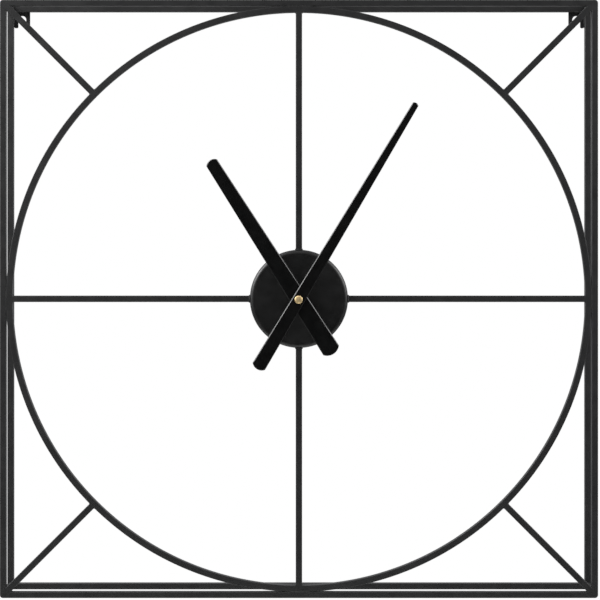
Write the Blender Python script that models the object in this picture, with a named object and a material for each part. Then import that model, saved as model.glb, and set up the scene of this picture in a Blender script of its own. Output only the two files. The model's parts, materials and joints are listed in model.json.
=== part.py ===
"""Open square wall clock: a welded frame of square bar, a hub pan, and a battery movement.

Metres, +Z up.  The face looks along -Y, with +X to the right of the person reading it.
The origin is on the axis of the hands, in the plane of the wall.
Run with blender --background --python part.py, or from Blender's text editor.
"""

from math import asin, atan2, cos, pi, radians, sin, sqrt, tau

import bmesh
import bpy
from mathutils import Matrix, Vector

# Frame of square bar
FRAME_SIDE = 0.600
FRAME_DEPTH = 0.050
BAR = 0.00635
BAR_EDGE = 0.0004
POST_ROUND = 0.0032
TOUCH_GAP = 0.0003

# Hanger plates in the two upper corners at the back
HANGER_SIDE = 0.016
HANGER_THICK = 0.002
HANGER_SLOT = 0.0082
HANGER_WEB = 0.0034
HANGER_TOE_ROUND = 0.0015

# Hub pan
HUB_RADIUS = 0.0492
HUB_WALL = 0.0012
HUB_DEPTH = 0.024
HUB_EDGE_ROUND = 0.0032
HUB_STANDOFF = 0.003

# Hands, measured from their axis
HOUR_TIP = 0.1638
HOUR_TAIL = 0.0642
HOUR_TIP_WIDTH = 0.0127
HOUR_TAIL_WIDTH = 0.0184
MINUTE_TIP = 0.2270
MINUTE_TAIL = 0.0805
MINUTE_TIP_WIDTH = 0.0065
MINUTE_TAIL_WIDTH = 0.0143
HAND_THICK = 0.0010
HAND_BEVEL = 0.0008
HAND_END_BULGE = 0.24
HOUR_ANGLE = -32.5
MINUTE_ANGLE = 30.9
HAND_CLEARANCE = 0.0140
HAND_SPACING = 0.0028

# Movement case and the hardware that clamps it to the hub
CASE_WALL = 0.0012
CASE_ROUND = 0.003
CASE_SPLIT = 0.0117
COVER_LAP = 0.0003
WHEEL_CLEARANCE = 0.0005
PILLAR_RADIUS = 0.0015
PILLAR_INSET = 0.0037
GASKET_RADIUS = 0.009
GASKET_THICK = 0.001
BUSH_RADIUS = 0.004
BUSH_STICKS_OUT = 0.012
WASHER_RADIUS = 0.0075
WASHER_THICK = 0.0008
NUT_FLATS = 0.011
NUT_THICK = 0.0025
CAP_NUT_RADIUS = 0.0039
CAP_NUT_LENGTH = 0.0032
CAP_NUT_GRIP = 0.0022
CAP_NUT_ROUND = 0.0008

# Arbors and running fits
RUNNING_GAP = 0.00015
END_SHAKE = 0.0003
MINUTE_ARBOR = 0.0015
CENTRE_STUB = 0.0010
HOUR_TUBE = 0.0025
HOUR_TUBE_BORE = MINUTE_ARBOR + RUNNING_GAP
KNOB_ARBOR = 0.0010
COUNTER_ARBOR = 0.0008
TRAIN_ARBOR = 0.0005
KNOB_RADIUS = 0.006
KNOB_THICK = 0.0027
KNOB_FLUTES = 20
FLUTE_DEPTH = 0.00036
FLUTE_START = 0.45
FLUTE_MIDDLE = 0.72
ROTOR_RADIUS = 0.003

# Gear teeth, and the angle from each gear to the next one
CANNON_TEETH = 12
COUNTER_TEETH = 36
COUNTER_LEAVES = 10
HOUR_TEETH = 40
KNOB_TEETH = 12
TRAIN_LEAVES = 6
CENTRE_TEETH = 48
THIRD_TEETH = 45
FOURTH_TEETH = 36
FIFTH_TEETH = 30
MOTION_MODULE = 0.0005
TRAIN_MODULE = 0.00036
COUNTER_DIRECTION = radians(150)
KNOB_DIRECTION = radians(100)
THIRD_DIRECTION = radians(10)
FIFTH_DIRECTION = radians(85)
ROTOR_DIRECTION = radians(70)
ADDENDUM = 0.8
DEDENDUM = 1.2
TIP_SHARE = 0.25
ROOT_SHARE = 0.50

# Levels inside the case, from the front wall back
LEVEL_THICKNESS = {
    "hour": 0.0012,
    "minute": 0.0010,
    "centre": 0.0010,
    "middle_plate": 0.0008,
    "third": 0.0010,
    "fourth": 0.0010,
    "fifth": 0.0010,
    "rotor": 0.0022,
    "bridge": 0.0010,
}

# Electrical pieces
BATTERY_RADIUS = 0.00725
BATTERY_LENGTH = 0.0505
BATTERY_NUB_RADIUS = 0.00275
BATTERY_NUB = 0.0012
CONTACT_ROOM = 0.00155
CONTACT_THICK = 0.0004
CONTACT_WIDTH = 0.008
SPRING_BASE = 0.005
SPRING_TIP = 0.003
BOARD_SIZE = (0.014, 0.013)
BOARD_BOTTOM = -0.005
BOARD_MARGIN = 0.0008
BOARD_THICK = 0.0008
CRYSTAL_RADIUS = 0.001
CRYSTAL_LENGTH = 0.006
COIL_RADIUS = 0.0021
COIL_BORE = 0.0012
COIL_LENGTH = 0.0196
COIL_STANDOFF = 0.0026
COIL_CLEARANCE = 0.00218
CORE_SIDE = 0.0014
STATOR_THICK = 0.0008
STATOR_MARGIN = 0.0042
STATOR_ARM = 0.003

# Fineness of round shapes
RING_SIDES = 80
HUB_SIDES = 64
ROUND_SIDES = 24
SMALL_SIDES = 12
POST_STEPS = 4
SLOT_STEPS = 12
HUB_EDGE_STEPS = 3
HAND_END_STEPS = 6

# Gear centres and modules that follow from the teeth
MOTION_DISTANCE = (CANNON_TEETH + COUNTER_TEETH) * MOTION_MODULE / 2
HOUR_MODULE = 2 * MOTION_DISTANCE / (COUNTER_LEAVES + HOUR_TEETH)
KNOB_DISTANCE = (COUNTER_TEETH + KNOB_TEETH) * MOTION_MODULE / 2
THIRD_DISTANCE = (THIRD_TEETH + TRAIN_LEAVES) * TRAIN_MODULE / 2
CENTRE_MODULE = 2 * THIRD_DISTANCE / (CENTRE_TEETH + TRAIN_LEAVES)
FIFTH_DISTANCE = (FOURTH_TEETH + TRAIN_LEAVES) * TRAIN_MODULE / 2
ROTOR_DISTANCE = (FIFTH_TEETH + TRAIN_LEAVES) * TRAIN_MODULE / 2
HOUR_WHEEL_RADIUS = (HOUR_TEETH / 2 + ADDENDUM) * HOUR_MODULE


def step_from(centre, distance, direction):
    return centre[0] + distance * cos(direction), centre[1] + distance * sin(direction)


AXIS = (0.0, 0.0)
COUNTER_AXIS = step_from(AXIS, MOTION_DISTANCE, COUNTER_DIRECTION)
KNOB_AXIS = step_from(COUNTER_AXIS, KNOB_DISTANCE, KNOB_DIRECTION)
THIRD_AXIS = step_from(AXIS, THIRD_DISTANCE, THIRD_DIRECTION)
FIFTH_AXIS = step_from(AXIS, FIFTH_DISTANCE, FIFTH_DIRECTION)
ROTOR_AXIS = step_from(FIFTH_AXIS, ROTOR_DISTANCE, ROTOR_DIRECTION)
COIL_Z = ROTOR_AXIS[1] + STATOR_MARGIN + COIL_STANDOFF + COIL_RADIUS
CASE_TOP = COIL_Z + COIL_RADIUS + COIL_CLEARANCE + CASE_WALL

# Positions that follow from the sizes above
FRONT_Y = -FRAME_DEPTH
INNER_HALF = FRAME_SIDE / 2 - BAR
RING_OUTER = INNER_HALF - TOUCH_GAP
RING_INNER = RING_OUTER - BAR
HUB_FACE_Y = FRONT_Y - HUB_STANDOFF
HUB_BACK_Y = HUB_FACE_Y + HUB_DEPTH
GASKET_Y = HUB_FACE_Y + HUB_WALL + TOUCH_GAP
CASE_Y = GASKET_Y + GASKET_THICK + TOUCH_GAP
CASE_FLOOR = CASE_Y + CASE_WALL
STACK_DEPTH = sum(LEVEL_THICKNESS.values()) + END_SHAKE * (len(LEVEL_THICKNESS) + 1)
BATTERY_Y = CASE_FLOOR + TOUCH_GAP + BATTERY_RADIUS
CASE_BACK_Y = max(BATTERY_Y + BATTERY_RADIUS, CASE_FLOOR + STACK_DEPTH + CASE_WALL)
SPLIT_Y = CASE_Y + CASE_SPLIT
CASE_INSIDE = BATTERY_LENGTH / 2 + CONTACT_ROOM
CASE_HALF = CASE_INSIDE + CASE_WALL
GEARS_TOP = CASE_TOP - CASE_WALL
GEARS_BOTTOM = -HOUR_WHEEL_RADIUS - WHEEL_CLEARANCE
BAY_TOP = GEARS_BOTTOM - CASE_WALL
BAY_BOTTOM = BAY_TOP - 2 * BATTERY_RADIUS - 2 * TOUCH_GAP
CASE_BOTTOM = BAY_BOTTOM - CASE_WALL
BATTERY_Z = (BAY_TOP + BAY_BOTTOM) / 2
BUSH_BORE = HOUR_TUBE + RUNNING_GAP
HOUR_HAND_Y = HUB_FACE_Y - HAND_CLEARANCE
MINUTE_HAND_Y = HOUR_HAND_Y - HAND_SPACING
CAP_NUT_Y = MINUTE_HAND_Y - HAND_THICK - TOUCH_GAP

COAT_BLACK = (0.020, 0.020, 0.021)
ROUND_SHADING = radians(40)
EDGE_SHADING = radians(30)


# ---------------------------------------------------------------- scene and materials

def clear_scene():
    for obj in list(bpy.data.objects):
        bpy.data.objects.remove(obj)


def material(name, colour, roughness, metallic=0.0):
    made = bpy.data.materials.get(name) or bpy.data.materials.new(name)
    made.use_nodes = True
    shader = made.node_tree.nodes["Principled BSDF"]
    shader.inputs["Base Color"].default_value = (*colour, 1.0)
    shader.inputs["Roughness"].default_value = roughness
    shader.inputs["Metallic"].default_value = metallic
    return made


def frame_black():
    return material("black_powder_coat", COAT_BLACK, 0.45)


def hub_black():
    return material("hub_paint", (0.012, 0.012, 0.012), 0.50)


def hand_black():
    return material("hand_paint", (0.008, 0.008, 0.008), 0.40)


def case_plastic():
    return material("movement_plastic", (0.030, 0.030, 0.032), 0.45)


def gear_plastic():
    return material("gear_plastic", (0.75, 0.74, 0.70), 0.40)


def brass():
    return material("brass", (0.70, 0.50, 0.22), 0.30, 1.0)


def steel():
    return material("steel", (0.60, 0.60, 0.62), 0.30, 1.0)


def rubber():
    return material("gasket_rubber", (0.015, 0.015, 0.015), 0.80)


def copper():
    return material("copper_wire", (0.72, 0.30, 0.14), 0.35, 1.0)


def board_green():
    return material("circuit_board", (0.03, 0.16, 0.06), 0.50)


def battery_shell():
    return material("battery_jacket", (0.10, 0.10, 0.11), 0.35)


# ---------------------------------------------------------------- shapes

def add_object(name, mesh, finish, centre=(0.0, 0.0), helper=False):
    """An object whose mesh is drawn round its own axis; centre is that axis in X and Z."""
    obj = bpy.data.objects.new(name, mesh)
    obj.location = (centre[0], 0.0, centre[1])
    bpy.context.scene.collection.objects.link(obj)
    if helper:
        obj.hide_render = True
        obj.display_type = "WIRE"
    else:
        mesh.materials.append(finish)
    return obj


def mesh_from(bm, name, smooth_angle=None):
    bmesh.ops.recalc_face_normals(bm, faces=bm.faces)
    mesh = bpy.data.meshes.new(name)
    bm.to_mesh(mesh)
    bm.free()
    if smooth_angle:
        mesh.shade_smooth()
        mesh.set_sharp_from_angle(angle=smooth_angle)
    return mesh


def prism(name, outline, y_front, y_back, smooth_angle=None):
    """Extrudes a closed outline of (x, z) points from y_front to y_back."""
    bm = bmesh.new()
    loop = [bm.verts.new((x, y_front, z)) for x, z in outline]
    face = bm.faces.new(loop)
    grown = bmesh.ops.extrude_face_region(bm, geom=[face])
    moved = [item for item in grown["geom"] if isinstance(item, bmesh.types.BMVert)]
    bmesh.ops.translate(bm, verts=moved, vec=(0, y_back - y_front, 0))
    return mesh_from(bm, name, smooth_angle)


def turned(name, profile, sides, axis=(0, 1, 0)):
    """Spins a closed profile of (radius, distance along the axis) points round the axis."""
    along = Vector(axis)
    across = along.orthogonal().normalized()
    bm = bmesh.new()
    verts = [bm.verts.new(across * radius + along * step) for radius, step in profile]
    edges = [bm.edges.new((verts[i - 1], verts[i])) for i in range(len(verts))
             if profile[i - 1][0] or profile[i][0]]
    bmesh.ops.spin(bm, geom=verts + edges, cent=(0, 0, 0), axis=along, angle=tau,
                   steps=sides, use_merge=True)
    bmesh.ops.remove_doubles(bm, verts=bm.verts, dist=1e-7)
    return mesh_from(bm, name, ROUND_SHADING)


def ring_profile(outer, inner, y_front, y_back):
    return [(outer, y_front), (outer, y_back), (inner, y_back), (inner, y_front)]


def disc_profile(radius, y_front, y_back):
    return [(0, y_front), (radius, y_front), (radius, y_back), (0, y_back)]


def circle(radius, sides=ROUND_SIDES, centre=(0.0, 0.0)):
    return [(centre[0] + radius * cos(tau * i / sides), centre[1] + radius * sin(tau * i / sides))
            for i in range(sides)]


def rectangle(left, right, bottom, top):
    return [(left, bottom), (right, bottom), (right, top), (left, top)]


def rounded_rectangle(left, right, bottom, top, radius, steps=4):
    points = []
    corners = ((right - radius, top - radius), (left + radius, top - radius),
               (left + radius, bottom + radius), (right - radius, bottom + radius))
    for quarter, (x, z) in enumerate(corners):
        for step in range(steps + 1):
            angle = (quarter + step / steps) * pi / 2
            points.append((x + radius * cos(angle), z + radius * sin(angle)))
    return points


def boolean(obj, other_mesh, operation):
    """Joins a helper to obj, or cuts it away, with a modifier that stays on obj."""
    count = len(obj.modifiers)
    helper = add_object(f"{obj.name}_helper_{count}", other_mesh, None,
                        (obj.location.x, obj.location.z), helper=True)
    modifier = obj.modifiers.new(f"{operation.lower()}_{count}", "BOOLEAN")
    modifier.operation = operation
    modifier.object = helper
    modifier.solver = "EXACT"


def join(obj, mesh):
    boolean(obj, mesh, "UNION")


def cut(obj, mesh):
    boolean(obj, mesh, "DIFFERENCE")


def cut_round(obj, radius, y_front, y_back, centre=(0.0, 0.0), sides=ROUND_SIDES):
    cut(obj, prism("hole", circle(radius, sides, centre), y_front, y_back))


# ---------------------------------------------------------------- frame of square bar

def bar(name, start, end, y_front):
    """A square bar between two (x, z) points, its front face at y_front."""
    reach = Vector((end[0] - start[0], end[1] - start[1]))
    half = reach.length / 2
    mesh = prism(name, rectangle(-half, half, -BAR / 2, BAR / 2), y_front, y_front + BAR)
    obj = add_object(name, mesh, frame_black(),
                     ((start[0] + end[0]) / 2, (start[1] + end[1]) / 2))
    obj.rotation_euler = (0, -atan2(reach.y, reach.x), 0)
    edge = obj.modifiers.new("broken_edges", "BEVEL")
    edge.width = BAR_EDGE
    edge.segments = 1
    return obj


def square_frame(prefix, y_front):
    """Four bars that butt against the sides of the corner posts."""
    middle = FRAME_SIDE / 2 - BAR / 2
    reach = INNER_HALF - TOUCH_GAP
    bar(f"{prefix}_bar_top", (-reach, middle), (reach, middle), y_front)
    bar(f"{prefix}_bar_bottom", (-reach, -middle), (reach, -middle), y_front)
    bar(f"{prefix}_bar_left", (-middle, -reach), (-middle, reach), y_front)
    bar(f"{prefix}_bar_right", (middle, -reach), (middle, reach), y_front)


def corner_posts():
    """Full-depth posts, each with its outer edge rounded."""
    side = FRAME_SIDE / 2
    for name, x_sign, z_sign in (("top_left", -1, 1), ("top_right", 1, 1),
                                 ("bottom_left", -1, -1), ("bottom_right", 1, -1)):
        outline = [(INNER_HALF, INNER_HALF), (side, INNER_HALF)]
        centre = side - POST_ROUND
        turns = [step / POST_STEPS * pi / 2 for step in range(POST_STEPS + 1)]
        outline += [(centre + POST_ROUND * cos(a), centre + POST_ROUND * sin(a)) for a in turns]
        outline.append((INNER_HALF, side))
        placed = [(x * x_sign, z * z_sign) for x, z in outline]
        add_object(f"corner_post_{name}",
                   prism("corner_post", placed, FRONT_Y, 0.0, EDGE_SHADING), frame_black())


def ring():
    mesh = turned("ring", ring_profile(RING_OUTER, RING_INNER, FRONT_Y, FRONT_Y + BAR), RING_SIDES)
    obj = add_object("ring", mesh, frame_black())
    edge = obj.modifiers.new("broken_edges", "BEVEL")
    edge.width = BAR_EDGE
    edge.segments = 1
    edge.limit_method = "ANGLE"
    edge.angle_limit = ROUND_SHADING


def spokes():
    inner = HUB_RADIUS + TOUCH_GAP
    flat = RING_INNER * cos(pi / RING_SIDES)
    outer = sqrt(flat ** 2 - (BAR / 2) ** 2) - TOUCH_GAP
    for name, x, z in (("top", 0, 1), ("bottom", 0, -1), ("left", -1, 0), ("right", 1, 0)):
        bar(f"spoke_{name}", (x * inner, z * inner), (x * outer, z * outer), FRONT_Y)


def corner_braces():
    """Diagonal bars from the ring into the frame's inner corners, pointed to fit them."""
    inner = RING_OUTER + TOUCH_GAP
    corner = (INNER_HALF - TOUCH_GAP) * sqrt(2)
    half = BAR / 2
    outline = [(inner, -half), (corner - half, -half), (corner, 0.0),
               (corner - half, half), (inner, half)]
    for name, angle in (("top_right", 45), ("top_left", 135),
                        ("bottom_left", 225), ("bottom_right", 315)):
        obj = add_object(f"corner_brace_{name}",
                         prism("corner_brace", outline, FRONT_Y, FRONT_Y + BAR), frame_black())
        obj.rotation_euler = (0, -radians(angle), 0)
        edge = obj.modifiers.new("broken_edges", "BEVEL")
        edge.width = BAR_EDGE
        edge.segments = 1


def hanger_plates():
    """Flat plates with a slot open at the bottom, which drop over two screws in the wall."""
    half = HANGER_SIDE / 2
    slot = HANGER_SLOT / 2
    toe = HANGER_TOE_ROUND
    top = INNER_HALF - TOUCH_GAP
    bottom = top - HANGER_SIDE
    slot_centre = top - HANGER_WEB - slot
    right_leg = [(slot, bottom + toe), (slot + toe, bottom), (half - toe, bottom), (half, bottom + toe)]
    turns = [step / SLOT_STEPS * pi for step in range(SLOT_STEPS + 1)]
    arch = [(slot * cos(a), slot_centre + slot * sin(a)) for a in turns]
    left_leg = [(-x, z) for x, z in reversed(right_leg)]
    outline = right_leg + [(half, top), (-half, top)] + left_leg + list(reversed(arch))
    for name, sign in (("left", -1), ("right", 1)):
        middle = sign * (INNER_HALF - TOUCH_GAP - half)
        add_object(f"hanger_plate_{name}",
                   prism("hanger_plate", outline, -HANGER_THICK, 0.0, EDGE_SHADING),
                   frame_black(), (middle, 0.0))


def hub_pan():
    """A turned pan, open at the back, with a rounded front edge and a hole for the bushing."""
    bend = HUB_EDGE_ROUND
    inner_bend = bend - HUB_WALL
    hole = BUSH_RADIUS + TOUCH_GAP
    turn_r = HUB_RADIUS - bend
    turn_y = HUB_FACE_Y + bend
    arc = [step / HUB_EDGE_STEPS * pi / 2 for step in range(HUB_EDGE_STEPS + 1)]
    profile = [(hole, HUB_FACE_Y)]
    profile += [(turn_r + bend * sin(a), turn_y - bend * cos(a)) for a in arc]
    profile += [(HUB_RADIUS, HUB_BACK_Y), (HUB_RADIUS - HUB_WALL, HUB_BACK_Y)]
    profile += [(turn_r + inner_bend * sin(a), turn_y - inner_bend * cos(a)) for a in reversed(arc)]
    profile.append((hole, HUB_FACE_Y + HUB_WALL))
    add_object("hub_pan", turned("hub_pan", profile, HUB_SIDES), hub_black())


# ---------------------------------------------------------------- gears

def level(name):
    """The front and back of a level inside the movement."""
    front = CASE_FLOOR + END_SHAKE
    for key, thickness in LEVEL_THICKNESS.items():
        if key == name:
            return front, front + thickness
        front += thickness + END_SHAKE
    raise ValueError(name)


def gear_outline(teeth, module, phase):
    """Straight-sided teeth; phase is the direction of the middle of one tooth."""
    pitch_radius = teeth * module / 2
    root = pitch_radius - DEDENDUM * module
    tip = pitch_radius + ADDENDUM * module
    pitch = tau / teeth
    points = []
    for tooth in range(teeth):
        middle = phase + tooth * pitch
        for radius, share in ((root, -ROOT_SHARE), (tip, -TIP_SHARE), (tip, TIP_SHARE), (root, ROOT_SHARE)):
            angle = middle + share * pitch / 2
            points.append((radius * cos(angle), radius * sin(angle)))
    return points


def mating_phase(teeth, phase, mate_teeth, direction):
    """The phase of a gear that lies in the given direction from one whose phase is known."""
    return direction + pi - (phase - direction) * teeth / mate_teeth + pi / mate_teeth


def gear(name, teeth, module, phase, y_front, y_back, finish, centre):
    outline = gear_outline(teeth, module, phase)
    return add_object(name, prism(name, outline, y_front, y_back), finish, centre)


def add_gear(obj, teeth, module, phase, y_front, y_back):
    join(obj, prism("pinion", gear_outline(teeth, module, phase), y_front, y_back))


def add_arbor(obj, radius, y_front, y_back):
    join(obj, turned("arbor", disc_profile(radius, y_front, y_back), SMALL_SIDES))


def compound_gear(name, wheel, pinion, finish, centre, arbor):
    """A wheel and its pinion on one arbor; wheel and pinion are (teeth, module, phase, level)."""
    obj = gear(name, *wheel[:3], *level(wheel[3]), finish, centre)
    add_gear(obj, *pinion[:3], *level(pinion[3]))
    add_arbor(obj, *arbor)


def motion_work():
    """The hour wheel, the counter wheel, the minute arbor and the setting knob."""
    cannon_phase = COUNTER_DIRECTION
    counter_phase = mating_phase(CANNON_TEETH, cannon_phase, COUNTER_TEETH, COUNTER_DIRECTION)
    leaf_phase = COUNTER_DIRECTION + pi
    hour_phase = mating_phase(COUNTER_LEAVES, leaf_phase, HOUR_TEETH, COUNTER_DIRECTION + pi)
    knob_phase = mating_phase(COUNTER_TEETH, counter_phase, KNOB_TEETH, KNOB_DIRECTION)
    hour_front, hour_back = level("hour")
    minute_front, minute_back = level("minute")
    centre_back = level("centre")[1]
    plate_back = level("middle_plate")[1]

    tube_end = HOUR_HAND_Y - HAND_THICK - TOUCH_GAP
    hour = gear("hour_wheel", HOUR_TEETH, HOUR_MODULE, hour_phase, hour_front, hour_back,
                gear_plastic(), AXIS)
    join(hour, turned("hour_tube", disc_profile(HOUR_TUBE, tube_end, hour_back - END_SHAKE), ROUND_SIDES))
    cut_round(hour, HOUR_TUBE_BORE, tube_end - CASE_WALL, hour_back + CASE_WALL)

    arbor_end = CAP_NUT_Y - CAP_NUT_GRIP
    cannon = gear("minute_arbor", CANNON_TEETH, MOTION_MODULE, cannon_phase, minute_front,
                  minute_back, steel(), AXIS)
    add_arbor(cannon, MINUTE_ARBOR, arbor_end, minute_front + END_SHAKE)
    add_arbor(cannon, CENTRE_STUB, minute_back - END_SHAKE, centre_back)

    compound_gear("counter_wheel",
                  (COUNTER_TEETH, MOTION_MODULE, counter_phase, "minute"),
                  (COUNTER_LEAVES, HOUR_MODULE, leaf_phase, "hour"), gear_plastic(), COUNTER_AXIS,
                  (COUNTER_ARBOR, hour_front - END_SHAKE / 2, plate_back))

    knob_front = CASE_BACK_Y + END_SHAKE
    knob = gear("setting_knob", KNOB_TEETH, MOTION_MODULE, knob_phase, minute_front, minute_back,
                case_plastic(), KNOB_AXIS)
    add_arbor(knob, KNOB_ARBOR, hour_front - END_SHAKE / 2, knob_front + KNOB_THICK / 2)
    flutes = []
    for flute in range(KNOB_FLUTES):
        for part, radius in ((0.0, KNOB_RADIUS), (FLUTE_START, KNOB_RADIUS),
                             (FLUTE_MIDDLE, KNOB_RADIUS - FLUTE_DEPTH)):
            angle = tau * (flute + part) / KNOB_FLUTES
            flutes.append((radius * cos(angle), radius * sin(angle)))
    join(knob, prism("knob_head", flutes, knob_front, knob_front + KNOB_THICK))


def going_train():
    """The wheels between the rotor and the minute arbor."""
    rear_end = level("bridge")[1] - END_SHAKE / 2
    front_end = level("middle_plate")[0] + END_SHAKE / 2
    arbor = (TRAIN_ARBOR, front_end, rear_end)

    rotor_phase = ROTOR_DIRECTION + pi
    fifth_phase = mating_phase(TRAIN_LEAVES, rotor_phase, FIFTH_TEETH, ROTOR_DIRECTION + pi)
    fifth_leaf_phase = FIFTH_DIRECTION + pi
    fourth_phase = mating_phase(TRAIN_LEAVES, fifth_leaf_phase, FOURTH_TEETH, FIFTH_DIRECTION + pi)
    fourth_leaf_phase = THIRD_DIRECTION
    third_phase = mating_phase(TRAIN_LEAVES, fourth_leaf_phase, THIRD_TEETH, THIRD_DIRECTION)
    third_leaf_phase = THIRD_DIRECTION + pi
    centre_phase = mating_phase(TRAIN_LEAVES, third_leaf_phase, CENTRE_TEETH, THIRD_DIRECTION + pi)

    rotor_front, rotor_back = level("rotor")
    magnet = turned("rotor", disc_profile(ROTOR_RADIUS, rotor_front, rotor_back), ROUND_SIDES)
    rotor = add_object("rotor", magnet, steel(), ROTOR_AXIS)
    add_gear(rotor, TRAIN_LEAVES, TRAIN_MODULE, rotor_phase, *level("fifth"))
    add_arbor(rotor, *arbor)

    compound_gear("fifth_wheel", (FIFTH_TEETH, TRAIN_MODULE, fifth_phase, "fifth"),
                  (TRAIN_LEAVES, TRAIN_MODULE, fifth_leaf_phase, "fourth"),
                  gear_plastic(), FIFTH_AXIS, arbor)
    compound_gear("fourth_wheel", (FOURTH_TEETH, TRAIN_MODULE, fourth_phase, "fourth"),
                  (TRAIN_LEAVES, TRAIN_MODULE, fourth_leaf_phase, "third"),
                  gear_plastic(), AXIS, arbor)
    centre_front, centre_back = level("centre")
    compound_gear("third_wheel", (THIRD_TEETH, TRAIN_MODULE, third_phase, "third"),
                  (TRAIN_LEAVES, CENTRE_MODULE, third_leaf_phase, "centre"),
                  gear_plastic(), THIRD_AXIS, (TRAIN_ARBOR, centre_front - END_SHAKE, rear_end))
    centre = gear("centre_wheel", CENTRE_TEETH, CENTRE_MODULE, centre_phase, centre_front,
                  centre_back, brass(), AXIS)
    cut_round(centre, CENTRE_STUB + RUNNING_GAP, centre_front - CASE_WALL,
              centre_back + CASE_WALL, sides=SMALL_SIDES)


# ---------------------------------------------------------------- movement case

def pillar_places():
    side = CASE_HALF - PILLAR_INSET
    low = GEARS_BOTTOM - CASE_WALL + PILLAR_INSET
    high = CASE_TOP - PILLAR_INSET
    return [(x, z) for x in (-side, side) for z in (low, high)]


def movement_case():
    """The moulded front half: gear space above, battery bay below, bushing through the hub."""
    inside = CASE_INSIDE
    past = SPLIT_Y + CASE_WALL
    outline = rounded_rectangle(-CASE_HALF, CASE_HALF, CASE_BOTTOM, CASE_TOP, CASE_ROUND)
    case = add_object("movement_case", prism("movement_case", outline, CASE_Y, SPLIT_Y, EDGE_SHADING),
                      case_plastic())
    gear_space = rectangle(-inside, inside, GEARS_BOTTOM, GEARS_TOP)
    cut(case, prism("gear_space", gear_space, CASE_FLOOR, past))
    battery_bay = rectangle(-inside, inside, BAY_BOTTOM, BAY_TOP)
    cut(case, prism("battery_bay", battery_bay, CASE_FLOOR, past))
    bush_end = HUB_FACE_Y - BUSH_STICKS_OUT
    bushing = disc_profile(BUSH_RADIUS, bush_end, CASE_FLOOR - CASE_WALL / 2)
    join(case, turned("bushing", bushing, ROUND_SIDES))
    pillar_top = level("middle_plate")[0] - TOUCH_GAP
    for place in pillar_places():
        join(case, prism("pillar", circle(PILLAR_RADIUS, SMALL_SIDES, place),
                         CASE_FLOOR - CASE_WALL / 2, pillar_top))
    cut_round(case, BUSH_BORE, bush_end - CASE_WALL, CASE_FLOOR + CASE_WALL)


def train_plate(name, level_name, holes, finish, margin):
    """A plate across the gear space, with a running hole for each arbor."""
    front, back = level(level_name)
    side = CASE_INSIDE - margin
    outline = rectangle(-side, side, GEARS_BOTTOM + margin, GEARS_TOP - margin)
    plate = add_object(name, prism(name, outline, front, back), finish)
    for centre, radius in holes:
        cut_round(plate, radius + RUNNING_GAP, front - CASE_WALL, back + CASE_WALL, centre, SMALL_SIDES)
    return plate


def middle_plate():
    holes = ((AXIS, TRAIN_ARBOR), (COUNTER_AXIS, COUNTER_ARBOR), (KNOB_AXIS, KNOB_ARBOR),
             (THIRD_AXIS, TRAIN_ARBOR), (FIFTH_AXIS, TRAIN_ARBOR), (ROTOR_AXIS, TRAIN_ARBOR))
    train_plate("middle_plate", "middle_plate", holes, case_plastic(), TOUCH_GAP)


def train_bridge():
    """The rear plate, which stands on its own pillars."""
    holes = ((AXIS, TRAIN_ARBOR), (KNOB_AXIS, KNOB_ARBOR), (THIRD_AXIS, TRAIN_ARBOR),
             (FIFTH_AXIS, TRAIN_ARBOR), (ROTOR_AXIS, TRAIN_ARBOR))
    bridge = train_plate("train_bridge", "bridge", holes, case_plastic(), TOUCH_GAP)
    bridge_front = level("bridge")[0]
    plate_back = level("middle_plate")[1]
    for place in pillar_places():
        join(bridge, prism("pillar", circle(PILLAR_RADIUS, SMALL_SIDES, place),
                           plate_back + TOUCH_GAP, bridge_front + END_SHAKE))


def rear_cover():
    """The lid over the gear space; the battery bay stays open behind."""
    front = SPLIT_Y + COVER_LAP
    outline = rounded_rectangle(-CASE_HALF, CASE_HALF, BAY_TOP, CASE_TOP, CASE_WALL)
    cover = add_object("rear_cover", prism("rear_cover", outline, front, CASE_BACK_Y, EDGE_SHADING),
                       case_plastic())
    space = rectangle(-CASE_INSIDE, CASE_INSIDE, GEARS_BOTTOM, GEARS_TOP)
    cut(cover, prism("cover_space", space, front - CASE_WALL, CASE_BACK_Y - CASE_WALL))
    cut_round(cover, KNOB_ARBOR + RUNNING_GAP, front, CASE_BACK_Y + CASE_WALL, KNOB_AXIS, SMALL_SIDES)


def clamp_hardware():
    """The gasket behind the hub face, and the washer and nut in front of it."""
    hole = BUSH_RADIUS + TOUCH_GAP
    add_object("hub_gasket", turned(
        "hub_gasket", ring_profile(GASKET_RADIUS, hole, GASKET_Y, GASKET_Y + GASKET_THICK), ROUND_SIDES),
        rubber())
    washer_back = HUB_FACE_Y - TOUCH_GAP
    washer_front = washer_back - WASHER_THICK
    add_object("fixing_washer", turned(
        "fixing_washer", ring_profile(WASHER_RADIUS, hole, washer_front, washer_back), ROUND_SIDES),
        brass())
    nut_back = washer_front - TOUCH_GAP
    corner = NUT_FLATS / 2 / cos(pi / 6)
    nut = add_object("fixing_nut", prism(
        "fixing_nut", circle(corner, 6), nut_back - NUT_THICK, nut_back), brass())
    cut_round(nut, hole, nut_back - 2 * NUT_THICK, nut_back + NUT_THICK)


# ---------------------------------------------------------------- electrical pieces

def battery():
    """One AA cell lying across the bay, its raised end to the right."""
    shoulder = BATTERY_LENGTH / 2 - BATTERY_NUB
    back_end = -BATTERY_LENGTH / 2
    profile = [(0, back_end), (BATTERY_RADIUS, back_end), (BATTERY_RADIUS, shoulder),
               (BATTERY_NUB_RADIUS, shoulder), (BATTERY_NUB_RADIUS, BATTERY_LENGTH / 2),
               (0, BATTERY_LENGTH / 2)]
    obj = add_object("battery", turned("battery", profile, ROUND_SIDES, axis=(1, 0, 0)), battery_shell())
    obj.location = (0.0, BATTERY_Y, BATTERY_Z)


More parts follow.
